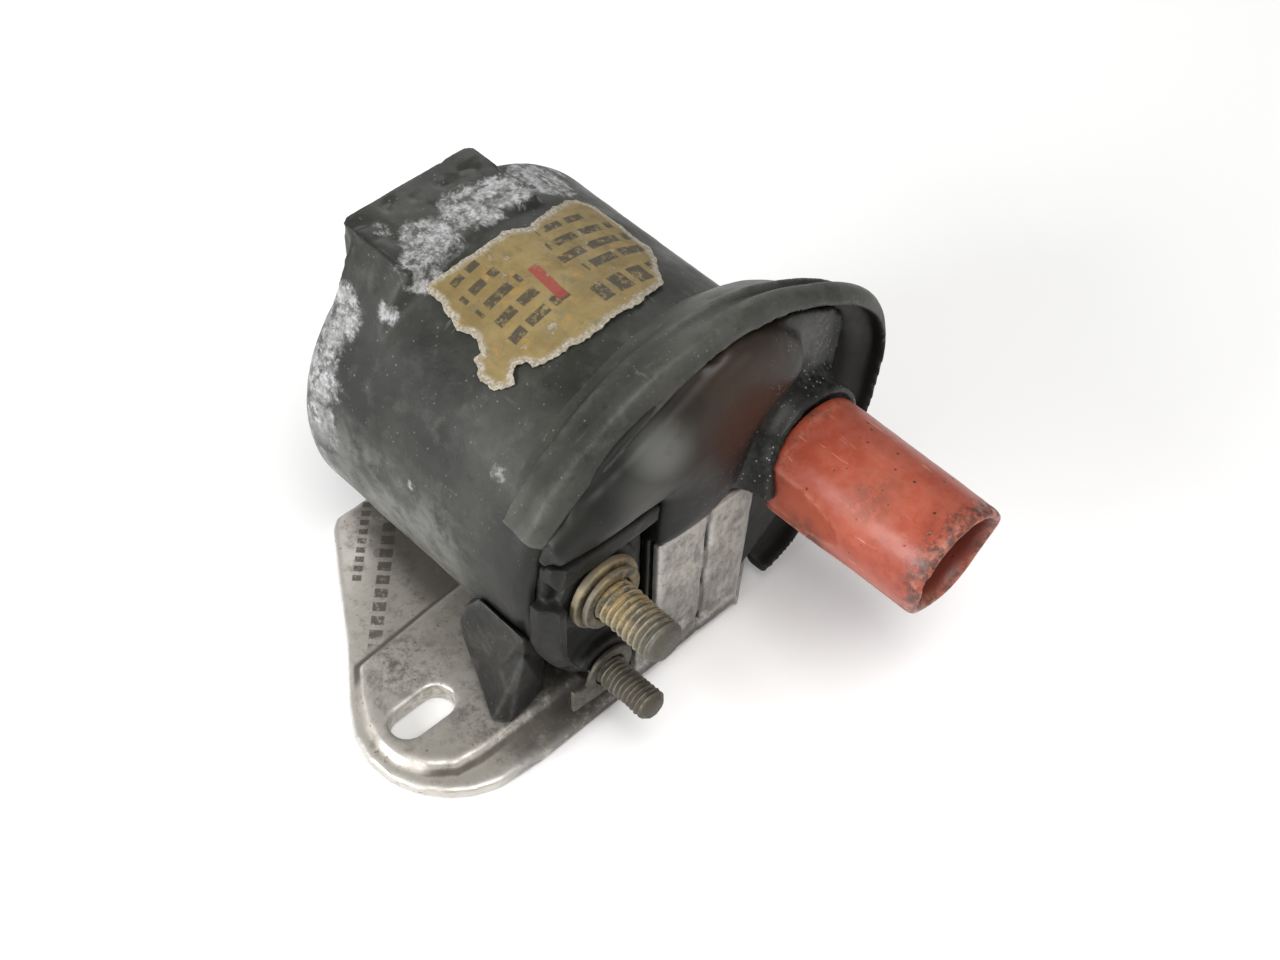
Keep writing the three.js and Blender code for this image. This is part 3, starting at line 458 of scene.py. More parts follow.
def plate_mat():
    m = Mat("plate_metal")
    big = m.noise(18, 6, 0.6); mid = m.noise(3.2, 7, 0.7, off=2.0); fine = m.noise(0.5, 5, 0.65, off=4.0)
    col = m.mix(m.ramp(big, 0.3, 0.7), (0.50, 0.465, 0.415), (0.66, 0.625, 0.57))
    col = m.mix(m.ramp(mid, 0.48, 0.66, 0, 0.75), col, (0.27, 0.25, 0.215))
    col = m.mix(m.ramp(m.noise(1.5, 8, 0.78, off=22.0), 0.58, 0.68, 0, 0.8), col, (0.10, 0.088, 0.068))
    col = m.mix(m.ramp(fine, 0.60, 0.75, 0, 0.45), col, (0.26, 0.235, 0.20))
    # rolled / rubbed scratches
    s = m.noise(0.8, 3, 0.5, vec=m.scaled(0.04, 1.0, 1.0, (0, 0, 0.5)), off=5.0)
    s2 = m.noise(0.8, 3, 0.5, vec=m.scaled(0.05, 1.0, 1.0, (0, 0, -0.7)), off=15.0)
    scr = m.math("MAXIMUM", m.ramp(s, 0.66, 0.72), m.ramp(s2, 0.68, 0.73))
    col = m.mix(m.mul(scr, 0.35), col, (0.80, 0.79, 0.76))
    x0, y0, z0 = m.xyz()
    streak = m.noise(1.6, 6, 0.7, vec=m.scaled(1.0, 1.0, 0.45), off=44.0)
    col = m.mix(m.mul(m.ramp(z0, 4.6, 6.5, 0, 1.0), m.ramp(streak, 0.36, 0.66, 0.30, 0.72)), col, (0.115, 0.115, 0.108))
    # grime and other darkening held in the corners, bright worn edges
    w = m.attribute("edge_crease"); d = m.attribute("darken")
    dm = m.mul(d, m.ramp(m.add(m.mul(mid, 0.7), m.mul(big, 0.5), m.mul(d, 0.25)), 0.44, 0.80))
    col = m.mix(m.mul(dm, 0.95), col, (0.060, 0.050, 0.038))
    col = m.mix(m.mul(w, m.ramp(mid, 0.34, 0.60), 0.55), col, (0.66, 0.65, 0.63))
    # abstract printed ticks on the left area: plain bars, no characters
    x, y, z = m.xyz()
    u = m.add(m.mul(x, 0.7071), m.mul(m.add(y, -50.0), 0.7071)); v = m.add(m.mul(x, -0.7071), m.mul(m.add(y, -50.0), 0.7071))
    def row(v0, vh, pitch, duty, u0, u1):
        inrow = m.math("MULTIPLY", m.ramp(v, v0 - 0.12, v0 + 0.12), m.ramp(v, v0 + vh + 0.12, v0 + vh - 0.12))
        ph = m.math("FRACT", m.math("DIVIDE", u, pitch))
        bar = m.mul(m.ramp(ph, 0.06, 0.14), m.ramp(ph, duty + 0.08, duty))
        span = m.mul(m.ramp(u, u0 - 0.1, u0 + 0.1), m.ramp(u, u1 + 0.1, u1 - 0.1))
        return m.mul(inrow, bar, span)
    ink = m.math("MAXIMUM", row(19.2, 2.5, 3.1, 0.72, -40, 4.5), row(24.4, 1.7, 2.2, 0.66, -24, -3))
    spk = m.mul(m.ramp(m.voronoi(1.3), 0.22, 0.08), m.ramp(m.noise(4.0, 5, 0.65, off=33.0), 0.47, 0.58))
    col = m.mix(m.mul(spk, 0.75), col, (0.09, 0.078, 0.06))
    # painted shadow on the front of the plate under the small stud and on the foot of the left tab
    front_shadow = m.mul(m.math("MAXIMUM", m.blob((-22, 3, 4), 13, 0.9), m.blob((-4, 1, 3), 12, 0.9)), m.ramp(m.noise(3.2, 8, 0.75, off=37.0), 0.34, 0.52))
    col = m.mix(m.mul(front_shadow, 0.85), col, (0.040, 0.036, 0.030))
    smut = m.mul(m.math("MAXIMUM", m.blob((-41, 30, 4), 7, 0.9), m.blob((-36, 12, 4), 7, 0.9)), m.ramp(m.noise(2.6, 8, 0.78, off=35.0), 0.44, 0.60))
    col = m.mix(m.mul(smut, 0.75), col, (0.12, 0.105, 0.085))
    ink = m.mul(ink, m.ramp(m.noise(0.9, 5, 0.7, off=7.0), 0.30, 0.48), m.ramp(z, 3.2, 2.9), m.ramp(y, 36.5, 38.5))
    col = m.mix(m.mul(ink, 0.88), col, (0.050, 0.040, 0.030))
    rough = m.add(m.ramp(mid, 0.3, 0.7, 0.34, 0.52), m.mul(dm, 0.25))
    met = m.math("SUBTRACT", 0.72, m.mul(m.math("MAXIMUM", dm, ink), 0.65))
    nb = m.bump(fine, 0.25, 0.04); nb = m.bump(mid, 0.2, 0.12, nb); nb = m.bump(scr, 0.3, -0.04, nb)
    return m.done(col, rough, met, nb)
M_PLATE = plate_mat()

def label_mat():
    m = Mat("label_paper")
    big = m.noise(9, 6, 0.65); mid = m.noise(2.2, 7, 0.7, off=2.0); fine = m.noise(0.45, 4, 0.6, off=4.0)
    col = m.mix(m.ramp(big, 0.3, 0.7), (0.155, 0.108, 0.034), (0.25, 0.185, 0.072))
    col = m.mix(m.ramp(mid, 0.52, 0.70, 0, 0.6), col, (0.105, 0.083, 0.040))
    col = m.mix(m.ramp(fine, 0.60, 0.75, 0, 0.35), col, (0.10, 0.08, 0.042))
    col = m.mix(m.ramp(m.noise(4.0, 5, 0.6, off=41.0), 0.55, 0.66, 0, 0.75), col, (0.30, 0.175, 0.042))
    col = m.mix(m.ramp(m.noise(3.0, 6, 0.7, off=43.0), 0.54, 0.66, 0, 0.7), col, (0.135, 0.125, 0.062))
    x, y, z = m.xyz()
    blot = m.ramp(m.noise(1.6, 6, 0.75, off=12.0), 0.33, 0.52)
    def rect(x0, x1, y0, y1, e=0.12):
        return m.mul(m.ramp(x, x0 - e, x0 + e), m.ramp(x, x1 + e, x1 - e), m.ramp(y, y0 - e, y0 + e), m.ramp(y, y1 + e, y1 - e))
    def words(x0, x1, y0, h, pitch, phase, duty):
        ph = m.math("FRACT", m.math("DIVIDE", m.add(x, phase), pitch))
        return m.mul(rect(x0, x1, y0, y0 + h), m.ramp(ph, 0.03, 0.09), m.ramp(ph, duty + 0.05, duty))
    ink = None
    for a in ((0.5, 17.5, 22.4, 4.0, 4.3, 0.4, 0.74), (-14.5, -2.5, 27.2, 2.0, 5.1, 0.9, 0.84), (3.5, 17.5, 29.4, 2.0, 6.2, 1.6, 0.86),
              (-14.5, -5.0, 31.2, 2.0, 4.7, 0.0, 0.80), (1.5, 17.5, 33.2, 2.0, 7.6, 0.2, 0.88), (-14.5, -5.5, 35.2, 1.9, 6.3, 0.5, 0.85),
              (2.0, 16.5, 37.0, 1.8, 5.6, 2.2, 0.84), (-14.5, -7.0, 39.2, 1.8, 3.9, 1.1, 0.75), (3.0, 14.0, 40.8, 1.6, 4.9, 0.8, 0.80), (-13.5, -8.0, 43.0, 1.5, 3.4, 0.3, 0.74)):
        w = words(*a); ink = w if ink is None else m.math("MAXIMUM", ink, w)
    ink = m.mul(ink, m.ramp(m.noise(1.3, 6, 0.75, off=21.0), 0.36, 0.50))
    col = m.mix(m.mul(ink, 0.85), col, (0.026, 0.022, 0.017))
    # one plain red mark
    t = m.math("SUBTRACT", x, m.mul(m.add(y, -32.0), 0.10))
    red = m.mul(m.ramp(t, -4.3, -4.0), m.ramp(t, -2.0, -2.3), m.ramp(y, 27.6, 28.0), m.ramp(y, 36.6, 36.2), m.ramp(m.noise(1.4, 6, 0.75, off=31.0), 0.33, 0.47))
    col = m.mix(m.mul(red, 0.9), col, (0.24, 0.030, 0.024))
    e = m.attribute("edge")
    pale = m.mul(m.ramp(m.add(e, m.mul(m.noise(2.4, 6, 0.7, off=17.0), -1.1)), 0.25, -0.25), 1.0)
    worn = m.ramp(m.noise(3.4, 7, 0.75, off=27.0), 0.575, 0.63)
    pale = m.math("MAXIMUM", pale, m.mul(worn, 0.8))
    tone = m.mix(m.ramp(fine, 0.35, 0.7), (0.20, 0.17, 0.12), (0.42, 0.38, 0.31))
    col = m.mix(pale, col, tone)
    stain = m.ramp(m.noise(3.0, 7, 0.78, off=37.0), 0.60, 0.72)
    col = m.mix(m.mul(stain, 0.75), col, (0.06, 0.052, 0.036))
    nb = m.bump(pale, 0.6, -0.10); nb = m.bump(fine, 0.4, 0.05, nb); nb = m.bump(mid, 0.4, 0.12, nb)
    return m.done(col, m.ramp(mid, 0.3, 0.7, 0.50, 0.75), 0.0, nb)
M_LABEL = label_mat()

def simple(name, c0, c1, rough, metal=0.0, mm=3.0, rings=None):
    m = Mat(name)
    n = m.noise(mm, 6, 0.65); f = m.noise(mm / 6, 4, 0.6, off=2.0)
    col = m.mix(m.ramp(n, 0.3, 0.7), c0, c1); col = m.mix(m.ramp(f, 0.58, 0.76, 0, 0.4), col, tuple(0.45 * c for c in c0))
    nb = m.bump(f, 0.3, 0.06)
    if rings:
        x, y, z = m.xyz(); w = m.math("SINE", m.mul(y, 2 * math.pi / rings)); nb = m.bump(w, 0.6, rings * 0.25, nb)
        col = m.mix(m.ramp(w, -0.2, -1.0, 0, 0.6), col, tuple(0.3 * c for c in c0))
    return m.done(col, m.ramp(n, 0.3, 0.7, rough[0], rough[1]), metal, nb)
M_COPPER = simple("winding_copper", (0.42, 0.15, 0.05), (0.58, 0.24, 0.09), (0.28, 0.42), 0.7, 3.0, 0.6)
M_NYLON = simple("bobbin_nylon", (0.52, 0.46, 0.33), (0.62, 0.57, 0.44), (0.45, 0.6), 0.0, 6.0)
M_IRON = simple("iron_sheet", (0.16, 0.16, 0.165), (0.28, 0.275, 0.27), (0.35, 0.55), 0.8, 4.0)
M_RESIN = simple("filler_resin", (0.12, 0.055, 0.02), (0.20, 0.10, 0.04), (0.25, 0.4), 0.0, 7.0)
M_RUBBER = simple("seal_rubber", (0.014, 0.014, 0.014), (0.028, 0.028, 0.027), (0.6, 0.8), 0.0, 3.0)
M_BRASS = simple("contact_brass", (0.42, 0.29, 0.10), (0.62, 0.46, 0.18), (0.28, 0.45), 0.9, 2.0)
M_RIVET = simple("rivet_steel", (0.22, 0.21, 0.20), (0.42, 0.41, 0.39), (0.35, 0.55), 0.85, 1.5)
# ------------------------------------------------------------------ PIECES
def edges_of(o):
    e = np.empty(len(o.data.edges) * 2, np.int64); o.data.edges.foreach_get("vertices", e); return e.reshape(-1, 2)

def lap(o, co, times):
    e = edges_of(o); n = len(co)
    deg = np.bincount(e[:, 0], minlength=n) + np.bincount(e[:, 1], minlength=n); deg = np.maximum(deg, 1)
    c = co.copy()
    for _ in range(times):
        s = np.stack([np.bincount(e[:, 0], c[e[:, 1], k], n) + np.bincount(e[:, 1], c[e[:, 0], k], n) for k in range(3)], 1)
        c = 0.5 * c + 0.5 * s / deg[:, None]
    return c

def curvature(o, times=12, scale=0.25):
    """-1 in grooves .. +1 on edges"""
    co, n = coords(o), normals(o)
    d = ((co - lap(o, co, times)) * n).sum(1)
    return np.clip(d / scale, -1, 1)

def copy_node(node):
    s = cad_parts[node]; me = s.data.copy(); mw = s.matrix_world
    v = np.array([tuple(mw @ p.co) for p in me.vertices]) * 1000.0; v[:, 1] += DEPTH / 2
    o = bpy.data.objects.new("tmp", me); bpy.context.scene.collection.objects.link(o); me.materials.clear()
    for a in list(me.color_attributes): me.color_attributes.remove(a)
    setco(o, v); bm = bmesh.new(); bm.from_mesh(me); bmesh.ops.remove_doubles(bm, verts=bm.verts, dist=1e-3); bmesh.ops.recalc_face_normals(bm, faces=bm.faces); bm.to_mesh(me); bm.free()
    return o

def half(p): return (-p[0], DEPTH - p[1])
def crom(P, m, closed=False):
    """Catmull-Rom through rows of P, m points per span"""
    P = np.asarray(P, float); n = len(P); out = []
    for i in range(n if closed else n - 1):
        if closed: a, b, c, d = P[(i - 1) % n], P[i], P[(i + 1) % n], P[(i + 2) % n]
        else: a, b, c, d = P[max(i - 1, 0)], P[i], P[i + 1], P[min(i + 2, n - 1)]
        for k in range(m):
            t = k / m
            out.append(0.5 * (2 * b + (c - a) * t + (2 * a - 5 * b + 4 * c - d) * t * t + (3 * b - a - 3 * c + d) * t ** 3))
    if not closed: out.append(P[-1])
    return np.array(out)

# ---- base plate: pressed sheet with two raised pads, slots and two turned-up tabs
LE = [(-35.5, 0), (-44, .8), (-48.2, 2.6), (-51.6, 5.2), (-54.9, 9.2), (-56.8, 14.2), (-57.2, 19.8), (-55.7, 25.4), (-52.4, 31), (-44.5, 41.5), (-30.2, 63.6), (-28.2, 65.3)]
OUT = LE + [half(p) for p in LE[:-2]] + [(30, 13.5), (21, 5.5), (15.2, 1.2), (13.6, 0)]
PAD = [(-31, 7), (-43, 7.4), (-47.4, 8.2), (-51, 11.2), (-53.4, 15.4), (-53.8, 19.8), (-52.6, 24.6), (-49.8, 29.6), (-46.2, 34.6), (-20, 36.4), (-20, 7)]
def offset(poly, d):
    P = np.array(poly, float); n = len(P); A = 0.5 * sum(P[i][0] * P[(i + 1) % n][1] - P[(i + 1) % n][0] * P[i][1] for i in range(n)); s = 1 if A > 0 else -1
    out = []
    for i in range(n):
        e1 = P[i] - P[i - 1]; e2 = P[(i + 1) % n] - P[i]; e1 /= np.linalg.norm(e1); e2 /= np.linalg.norm(e2)
        n1 = np.array([e1[1], -e1[0]]) * s; n2 = np.array([e2[1], -e2[0]]) * s; m = n1 + n2
        out.append(tuple(P[i] + d * m / max(0.35, m.dot(n1))))
    return out
def obround(cx, cy, L, W, seg=24):
    r, h = W / 2, (L - W) / 2
    return [(cx + h + r * math.cos(-math.pi / 2 + math.pi * i / seg), cy + r * math.sin(-math.pi / 2 + math.pi * i / seg)) for i in range(seg + 1)] + \
           [(cx - h + r * math.cos(math.pi / 2 + math.pi * i / seg), cy + r * math.sin(math.pi / 2 + math.pi * i / seg)) for i in range(seg + 1)]
def build_plate():
    v = 0.42
    parts = [prism(OUT, 0.12, 2.5)]
    for hf in (False, True):
        for d, z in ((0.9, 3.0), (0.45, 3.55), (0.0, 4.1)):
            P = offset(PAD, d); P = [half(p) for p in P] if hf else P
            parts.append(prism(P, 1.6, z))
    # the tabs rise from a bend at the front edge
    T1 = [(-12.2, 5), (-12.2, 12), (-7.7, 17), (-7.7, 35.9), (3.95, 35.5), (2.9, 5)]; T2 = [(3.7, 5), (5.0, 35.9), (15.7, 35.9), (13.6, 5)]
    def tab(P):
        xs = [p[0] for p in P if p[1] == 5]; x0, x1 = min(xs), max(xs)
        a = prism(P, 0.1, 1.95, "xz")
        arc = [(0.1, 5.02)] + [(3.2 - 3.1 * math.cos(t), 3.2 - 3.1 * math.sin(t)) for t in np.linspace(0, math.pi / 2, 10)] + [(4.5, 0.1), (4.5, 2.4)] + [(3.2 - 1.25 * math.cos(t), 3.7 - 1.25 * math.sin(t)) for t in np.linspace(math.pi / 2, 0, 8)] + [(1.95, 5.02)]
        n = len(arc); vv = [(x, y, z) for x in (x0, x1) for y, z in arc]
        b = raw(vv, [tuple(range(n)), tuple(range(2 * n - 1, n - 1, -1))] + [(i, (i + 1) % n, n + (i + 1) % n, n + i) for i in range(n)])
        return [a, b]
    plate = parts[0]
    notch = box(-12.6, 14.2, -1, 3.0, -1, 2.0)
    cut(plate, box(-12.2, 13.5, -1, 4.0, -1, 5))
    plate = join(plate, *parts[1:], *tab(T1), *tab(T2)); drop(notch)
    remesh(plate, v, 0)
    cut(plate, prism(obround(-45, 19.9, 13.0, 6.6), -1, 9), prism([half(p) for p in obround(-45, 19.9, 13.0, 6.6)], -1, 9))
    remesh(plate, v, 5, 0.5)
    k = curvature(plate, 14, 0.22)
    co = coords(plate)
    # grime at the foot of the joggles, in the creases and along the front edge; darker under the coil, along the gap
    # between the tabs and on their back faces
    def dist(P, q):
        best = np.full(len(q), 1e9)
        for i in range(len(P)):
            a, b = np.array(P[i]), np.array(P[(i + 1) % len(P)]); ab = b - a
            t = np.clip(((q - a) @ ab) / (ab @ ab), 0, 1); best = np.minimum(best, np.linalg.norm(q - (a + t[:, None] * ab), axis=1))
        return best
    D = np.minimum(dist(offset(PAD, 1.1), co[:, :2]), dist([half(p) for p in offset(PAD, 1.1)], co[:, :2]))
    low = sstep(co[:, 2], 3.5, 2.9)
    darken = sstep(D, 1.5, 0.4) * low
    darken = darken * np.where(co[:, 0] < 0, 1 - 0.75 * sstep(co[:, 1], 9, 13) * sstep(co[:, 1], 34, 31), 1 - 0.75 * sstep(DEPTH - co[:, 1], 9, 13) * sstep(DEPTH - co[:, 1], 34, 31))
    under = sstep(np.hypot(co[:, 0] / 30.0, (co[:, 1] - 35) / 60.0), 1.15, 0.85) * sstep(co[:, 2], 6, 3)
    front = sstep(co[:, 1], 7.2, 5.8) * sstep(co[:, 1], -0.5, 0.6) * sstep(np.abs(co[:, 0] + 27), 20, 8) * 0.9
    darken = np.clip(np.maximum(np.maximum(darken, under * 0.95), np.maximum(front * low, sstep(k, -0.15, -0.7) * 0.8)), 0, 1)
    tabz = (co[:, 2] > 5.5)
    slit = tabz * sstep(np.abs(co[:, 0] - (3.35 + 0.028 * (co[:, 2] - 5))), 1.0, 0.45)
    darken = np.where(tabz, np.maximum(sstep(k, -0.3, -0.8) * 0.6, slit * 0.8), darken)
    darken = np.where(tabz & (co[:, 1] > 1.6), 0.9, darken)
    n = vnoise(co, 9, 3) * 0.10 + vnoise(co, 2.4, 5) * 0.03
    push(plate, lambda c, nn: n * sstep(c[:, 2], 0.0, 0.8))
    attr(plate, "darken", darken); attr(plate, "edge_crease", np.clip(k, 0, 1))
    return finish(plate, "pressed_plate", M_PLATE, ["base_plate"])
build_plate()

def hull(P):
    bm = bmesh.new()
    for p in P: bm.verts.new(p)
    bmesh.ops.convex_hull(bm, input=list(bm.verts)); bmesh.ops.delete(bm, geom=[v for v in bm.verts if not v.link_faces], context="VERTS")
    me = bpy.data.meshes.new("tmp"); bm.to_mesh(me); bm.free()
    o = bpy.data.objects.new("tmp", me); bpy.context.scene.collection.objects.link(o); return o

# ---- pot with the yoke housing moulded on
def build_pot():
    v = 0.56
    prof = [(0, 4.62), (30.0, 4.62)] + [(34 - 4.0 * (1 - math.sin(t)), 4.62 + 4.0 * (1 - math.cos(t))) for t in np.linspace(0, math.pi / 2, 14)] + [(34, y) for y in (20, 40)] + [(34 - 5.2 * (1 - math.cos(t)), 58.8 + 5.2 * math.sin(t)) for t in np.linspace(0, math.pi / 2, 14)] + [(0, 64.0)]
    pot = lathe(prof, 0, AX, 160)
    # the block has rounded rear corners; its left side runs down as a step
    def rr(x0, x1, y0, y1, r, z0, z1):
        pts = []
        for cx, cy, a0 in ((x1 - r, y1 - r, 0), (x0 + r, y1 - r, 90)):
            for t in np.linspace(0, 90, 8): pts.append((cx + r * math.cos(rad(a0 + t)), cy + r * math.sin(rad(a0 + t))))
        pts += [(x0, y0), (x1, y0)]
        return prism(pts, z0, z1)
    a = rr(-18.9, 9.9, 48.4, 66.15, 1.7, 52, 71.75)
    bl = hull([(-18.8, 63, 71.2), (-18.8, 49.4, 70.9), (-10, 48.4, 71.2), (-27.6, 60.5, 57.6), (-25.0, 49.6, 61.0), (-10, 63, 60), (-10, 49, 60), (-17, 47.4, 67.4)])
    b = rr(-18.4, 9.6, 57, 66.0, 1.6, 7.6, 60)
    pot = join(pot, a, b, bl)
    remesh(pot, v, 5, 0.5)
    cut(pot, rod(0, AX, 31.4, -5, 61.4, 96), box(-14.8, 7.0, 60, 64.0, 10.5, 66.5))
    co = coords(pot); n = normals(pot)
    out = (np.hypot(co[:, 0], co[:, 2] - AX) > 32.5) | (co[:, 1] > 61.8) | (co[:, 2] > 67)
    d = fbm(co, 11, 3, 4) * 0.16 + fbm(co, 2.6, 3, 9) * 0.06
    # nicks on the block's upper edges
    m = sstep(co[:, 2], 67.5, 70.8) * sstep(co[:, 1], 46, 50)
    d = d - m * np.clip(fbm(co, 3.2, 3, 31) - 0.05, 0, 1) * 1.3 - sstep(co[:, 0], -12, -17) * sstep(co[:, 2], 60, 66) * sstep(co[:, 1], 50, 56) * np.clip(fbm(co, 4.5, 3, 37), 0, 1) * 1.2
    d = np.where(out, d, 0) - 0.05
    setco(pot, co + n * np.where(out, d, 0)[:, None])
    return finish(pot, "moulded_pot", M_POT, ["housing_pot"], 50)
build_pot()

# ---- front hood
HOOD = [(-32.9, 54.3, -62.5, 9.4, 3.0), (-32.7, 55.6, -60.5, 10.2, 2.7), (-31.9, 57.6, -57, 12.2, 2.4), (-30.0, 60.6, -52, 13.2, 2.3), (-27.8, 62.8, -47, 13.5, 2.3), (-21.6, 67.3, -37, 13.6, 2.2), (-13.6, 71.6, -25, 13.8, 2.2),
  (-5.0, 74.2, -13, 14.2, 2.2), (3.5, 75.4, -2, 14.6, 2.0), (12.0, 75.7, 9, 15.2, 1.6), (20.5, 73.8, 20, 16.2, 1.2), (29.0, 70.2, 31, 17.2, 0.8),
  (36.6, 66.0, 43, 18.2, 0.2), (42.4, 61.0, 53, 18.4, 0), (46.0, 55.2, 62, 18.4, 0), (47.7, 49.0, 70, 18.0, 0), (47.9, 43.4, 78, 17.4, 0),
  (46.9, 36.6, 87, 16.6, 0), (45.2, 29.6, 97, 15.6, 0), (38.0, 18.6, 112, 14.2, 0), (30.4, 8.2, 128, 12.6, 0), (25.6, 5.0, 136, 11.6, 0), (20.6, 3.6, 142, 10.6, 0)]
def build_hood():
    H = crom(HOOD, 12)
    rows = []
    for x, z, deg, yr, yf in H:
        a = rad(deg); b = np.array([math.sin(a), math.cos(a)]); base = b * (R0 - 0.7); rim = np.array([x, z - AX])
        d = rim - base; L = np.linalg.norm(d); u = d / L if L > 1e-6 else b
        t = float(np.interp(deg, [-62.5, -60.5, -57, -52, -47, -37, -25, -13, -2, 9, 20, 31, 43, 53, 62, 70, 78], [2.4, 2.9, 3.6, 4.4, 5.2, 6.4, 7.9, 8.4, 7.2, 5.2, 4.0, 3.7, 3.6, 3.2, 2.4, 1.8, 1.5]))
        g = float(sstep(deg, -8, 22)); q = 0.7; F = L - q   # the foot of the flank starts inside the pot wall
        inner = L - t
        prof = [(0, yr + 0.9), (q, yr), (q + 0.36 * F, yr - 2.7), (q + 0.70 * F, yf + 8.3), (q + 0.83 * F, yf + 7.5), (q + 0.86 * F, yf + 6.7), (q + (0.86 - 0.10 * g) * F, yf + 5.8), (q + (0.90 - 0.08 * g) * F, yf + 4.9),
                (q + 0.965 * F, yf + 4.0), (L, yf + 3.0), (L, yf + 2.0), (L - 0.14 * t, yf + 1.1), (L - 0.36 * t, yf + 0.55), (L - 0.62 * t, yf + 0.2), (L - 0.86 * t, yf - 0.1), (L - 0.97 * t, yf + 0.15)]
        if inner > 1.0:
            k = inner / 10
            prof += [(inner - 0.1, yf + 1.2), (inner - 0.4, yf + 3.0), (0.70 * inner, yf + 4.6 + 0.3 * k), (0.3 * inner, max(yf + 4.2, yr - 6.0)), (0, max(yf + 3.6, yr - 6.4))]
        else:
            prof += [(inner - 0.2, yf + 1.3), (inner - 0.2, yf + 2.4), (0.75 * inner - 0.3, yf + 3.4), (0.4 * inner - 0.4, yf + 4.4), (0, max(yf + 5.2, yr - 6.4))]
        P = crom([(s, y) for s, y in prof], 4, True)
        rows.append([(base[0] + u[0] * s, y, base[1] + u[1] * s + AX) for s, y in P])
    o = grid(rows)
    co = coords(o)
    co[:, 2] = np.maximum(co[:, 2], 2.75)
    setco(o, co)
    remesh(o, 0.44, 2, 0.5)
    k = curvature(o, 16, 0.26)
    co = coords(o)
    d = fbm(co, 9, 3, 14) * 0.14 + fbm(co, 2.2, 2, 19) * 0.03 - np.clip(k, 0, 1) * np.clip(fbm(co, 3.5, 3, 41) - 0.2, 0, 1) * 0.7
    push(o, lambda c, n: d)
    # painted shade on the hollow side of the wing
    r = np.hypot(co[:, 0], co[:, 2] - AX); n = normals(o)
    hol = 1.3 * sstep(co[:, 0], 14, 26) * sstep(-(n[:, 0] * co[:, 0] + n[:, 2] * (co[:, 2] - AX)) / r, 0.05, 0.5) + sstep(co[:, 0], 20, 32) * sstep(-n[:, 1], 0.2, 0.7) * sstep(co[:, 1], 1.6, 3.2)
    attr(o, "hollow", np.clip(hol, 0, 1))
    attr(o, "edge_crease", k)
    return finish(o, "moulded_hood", M_HOOD, ["front_hood"])
build_hood()

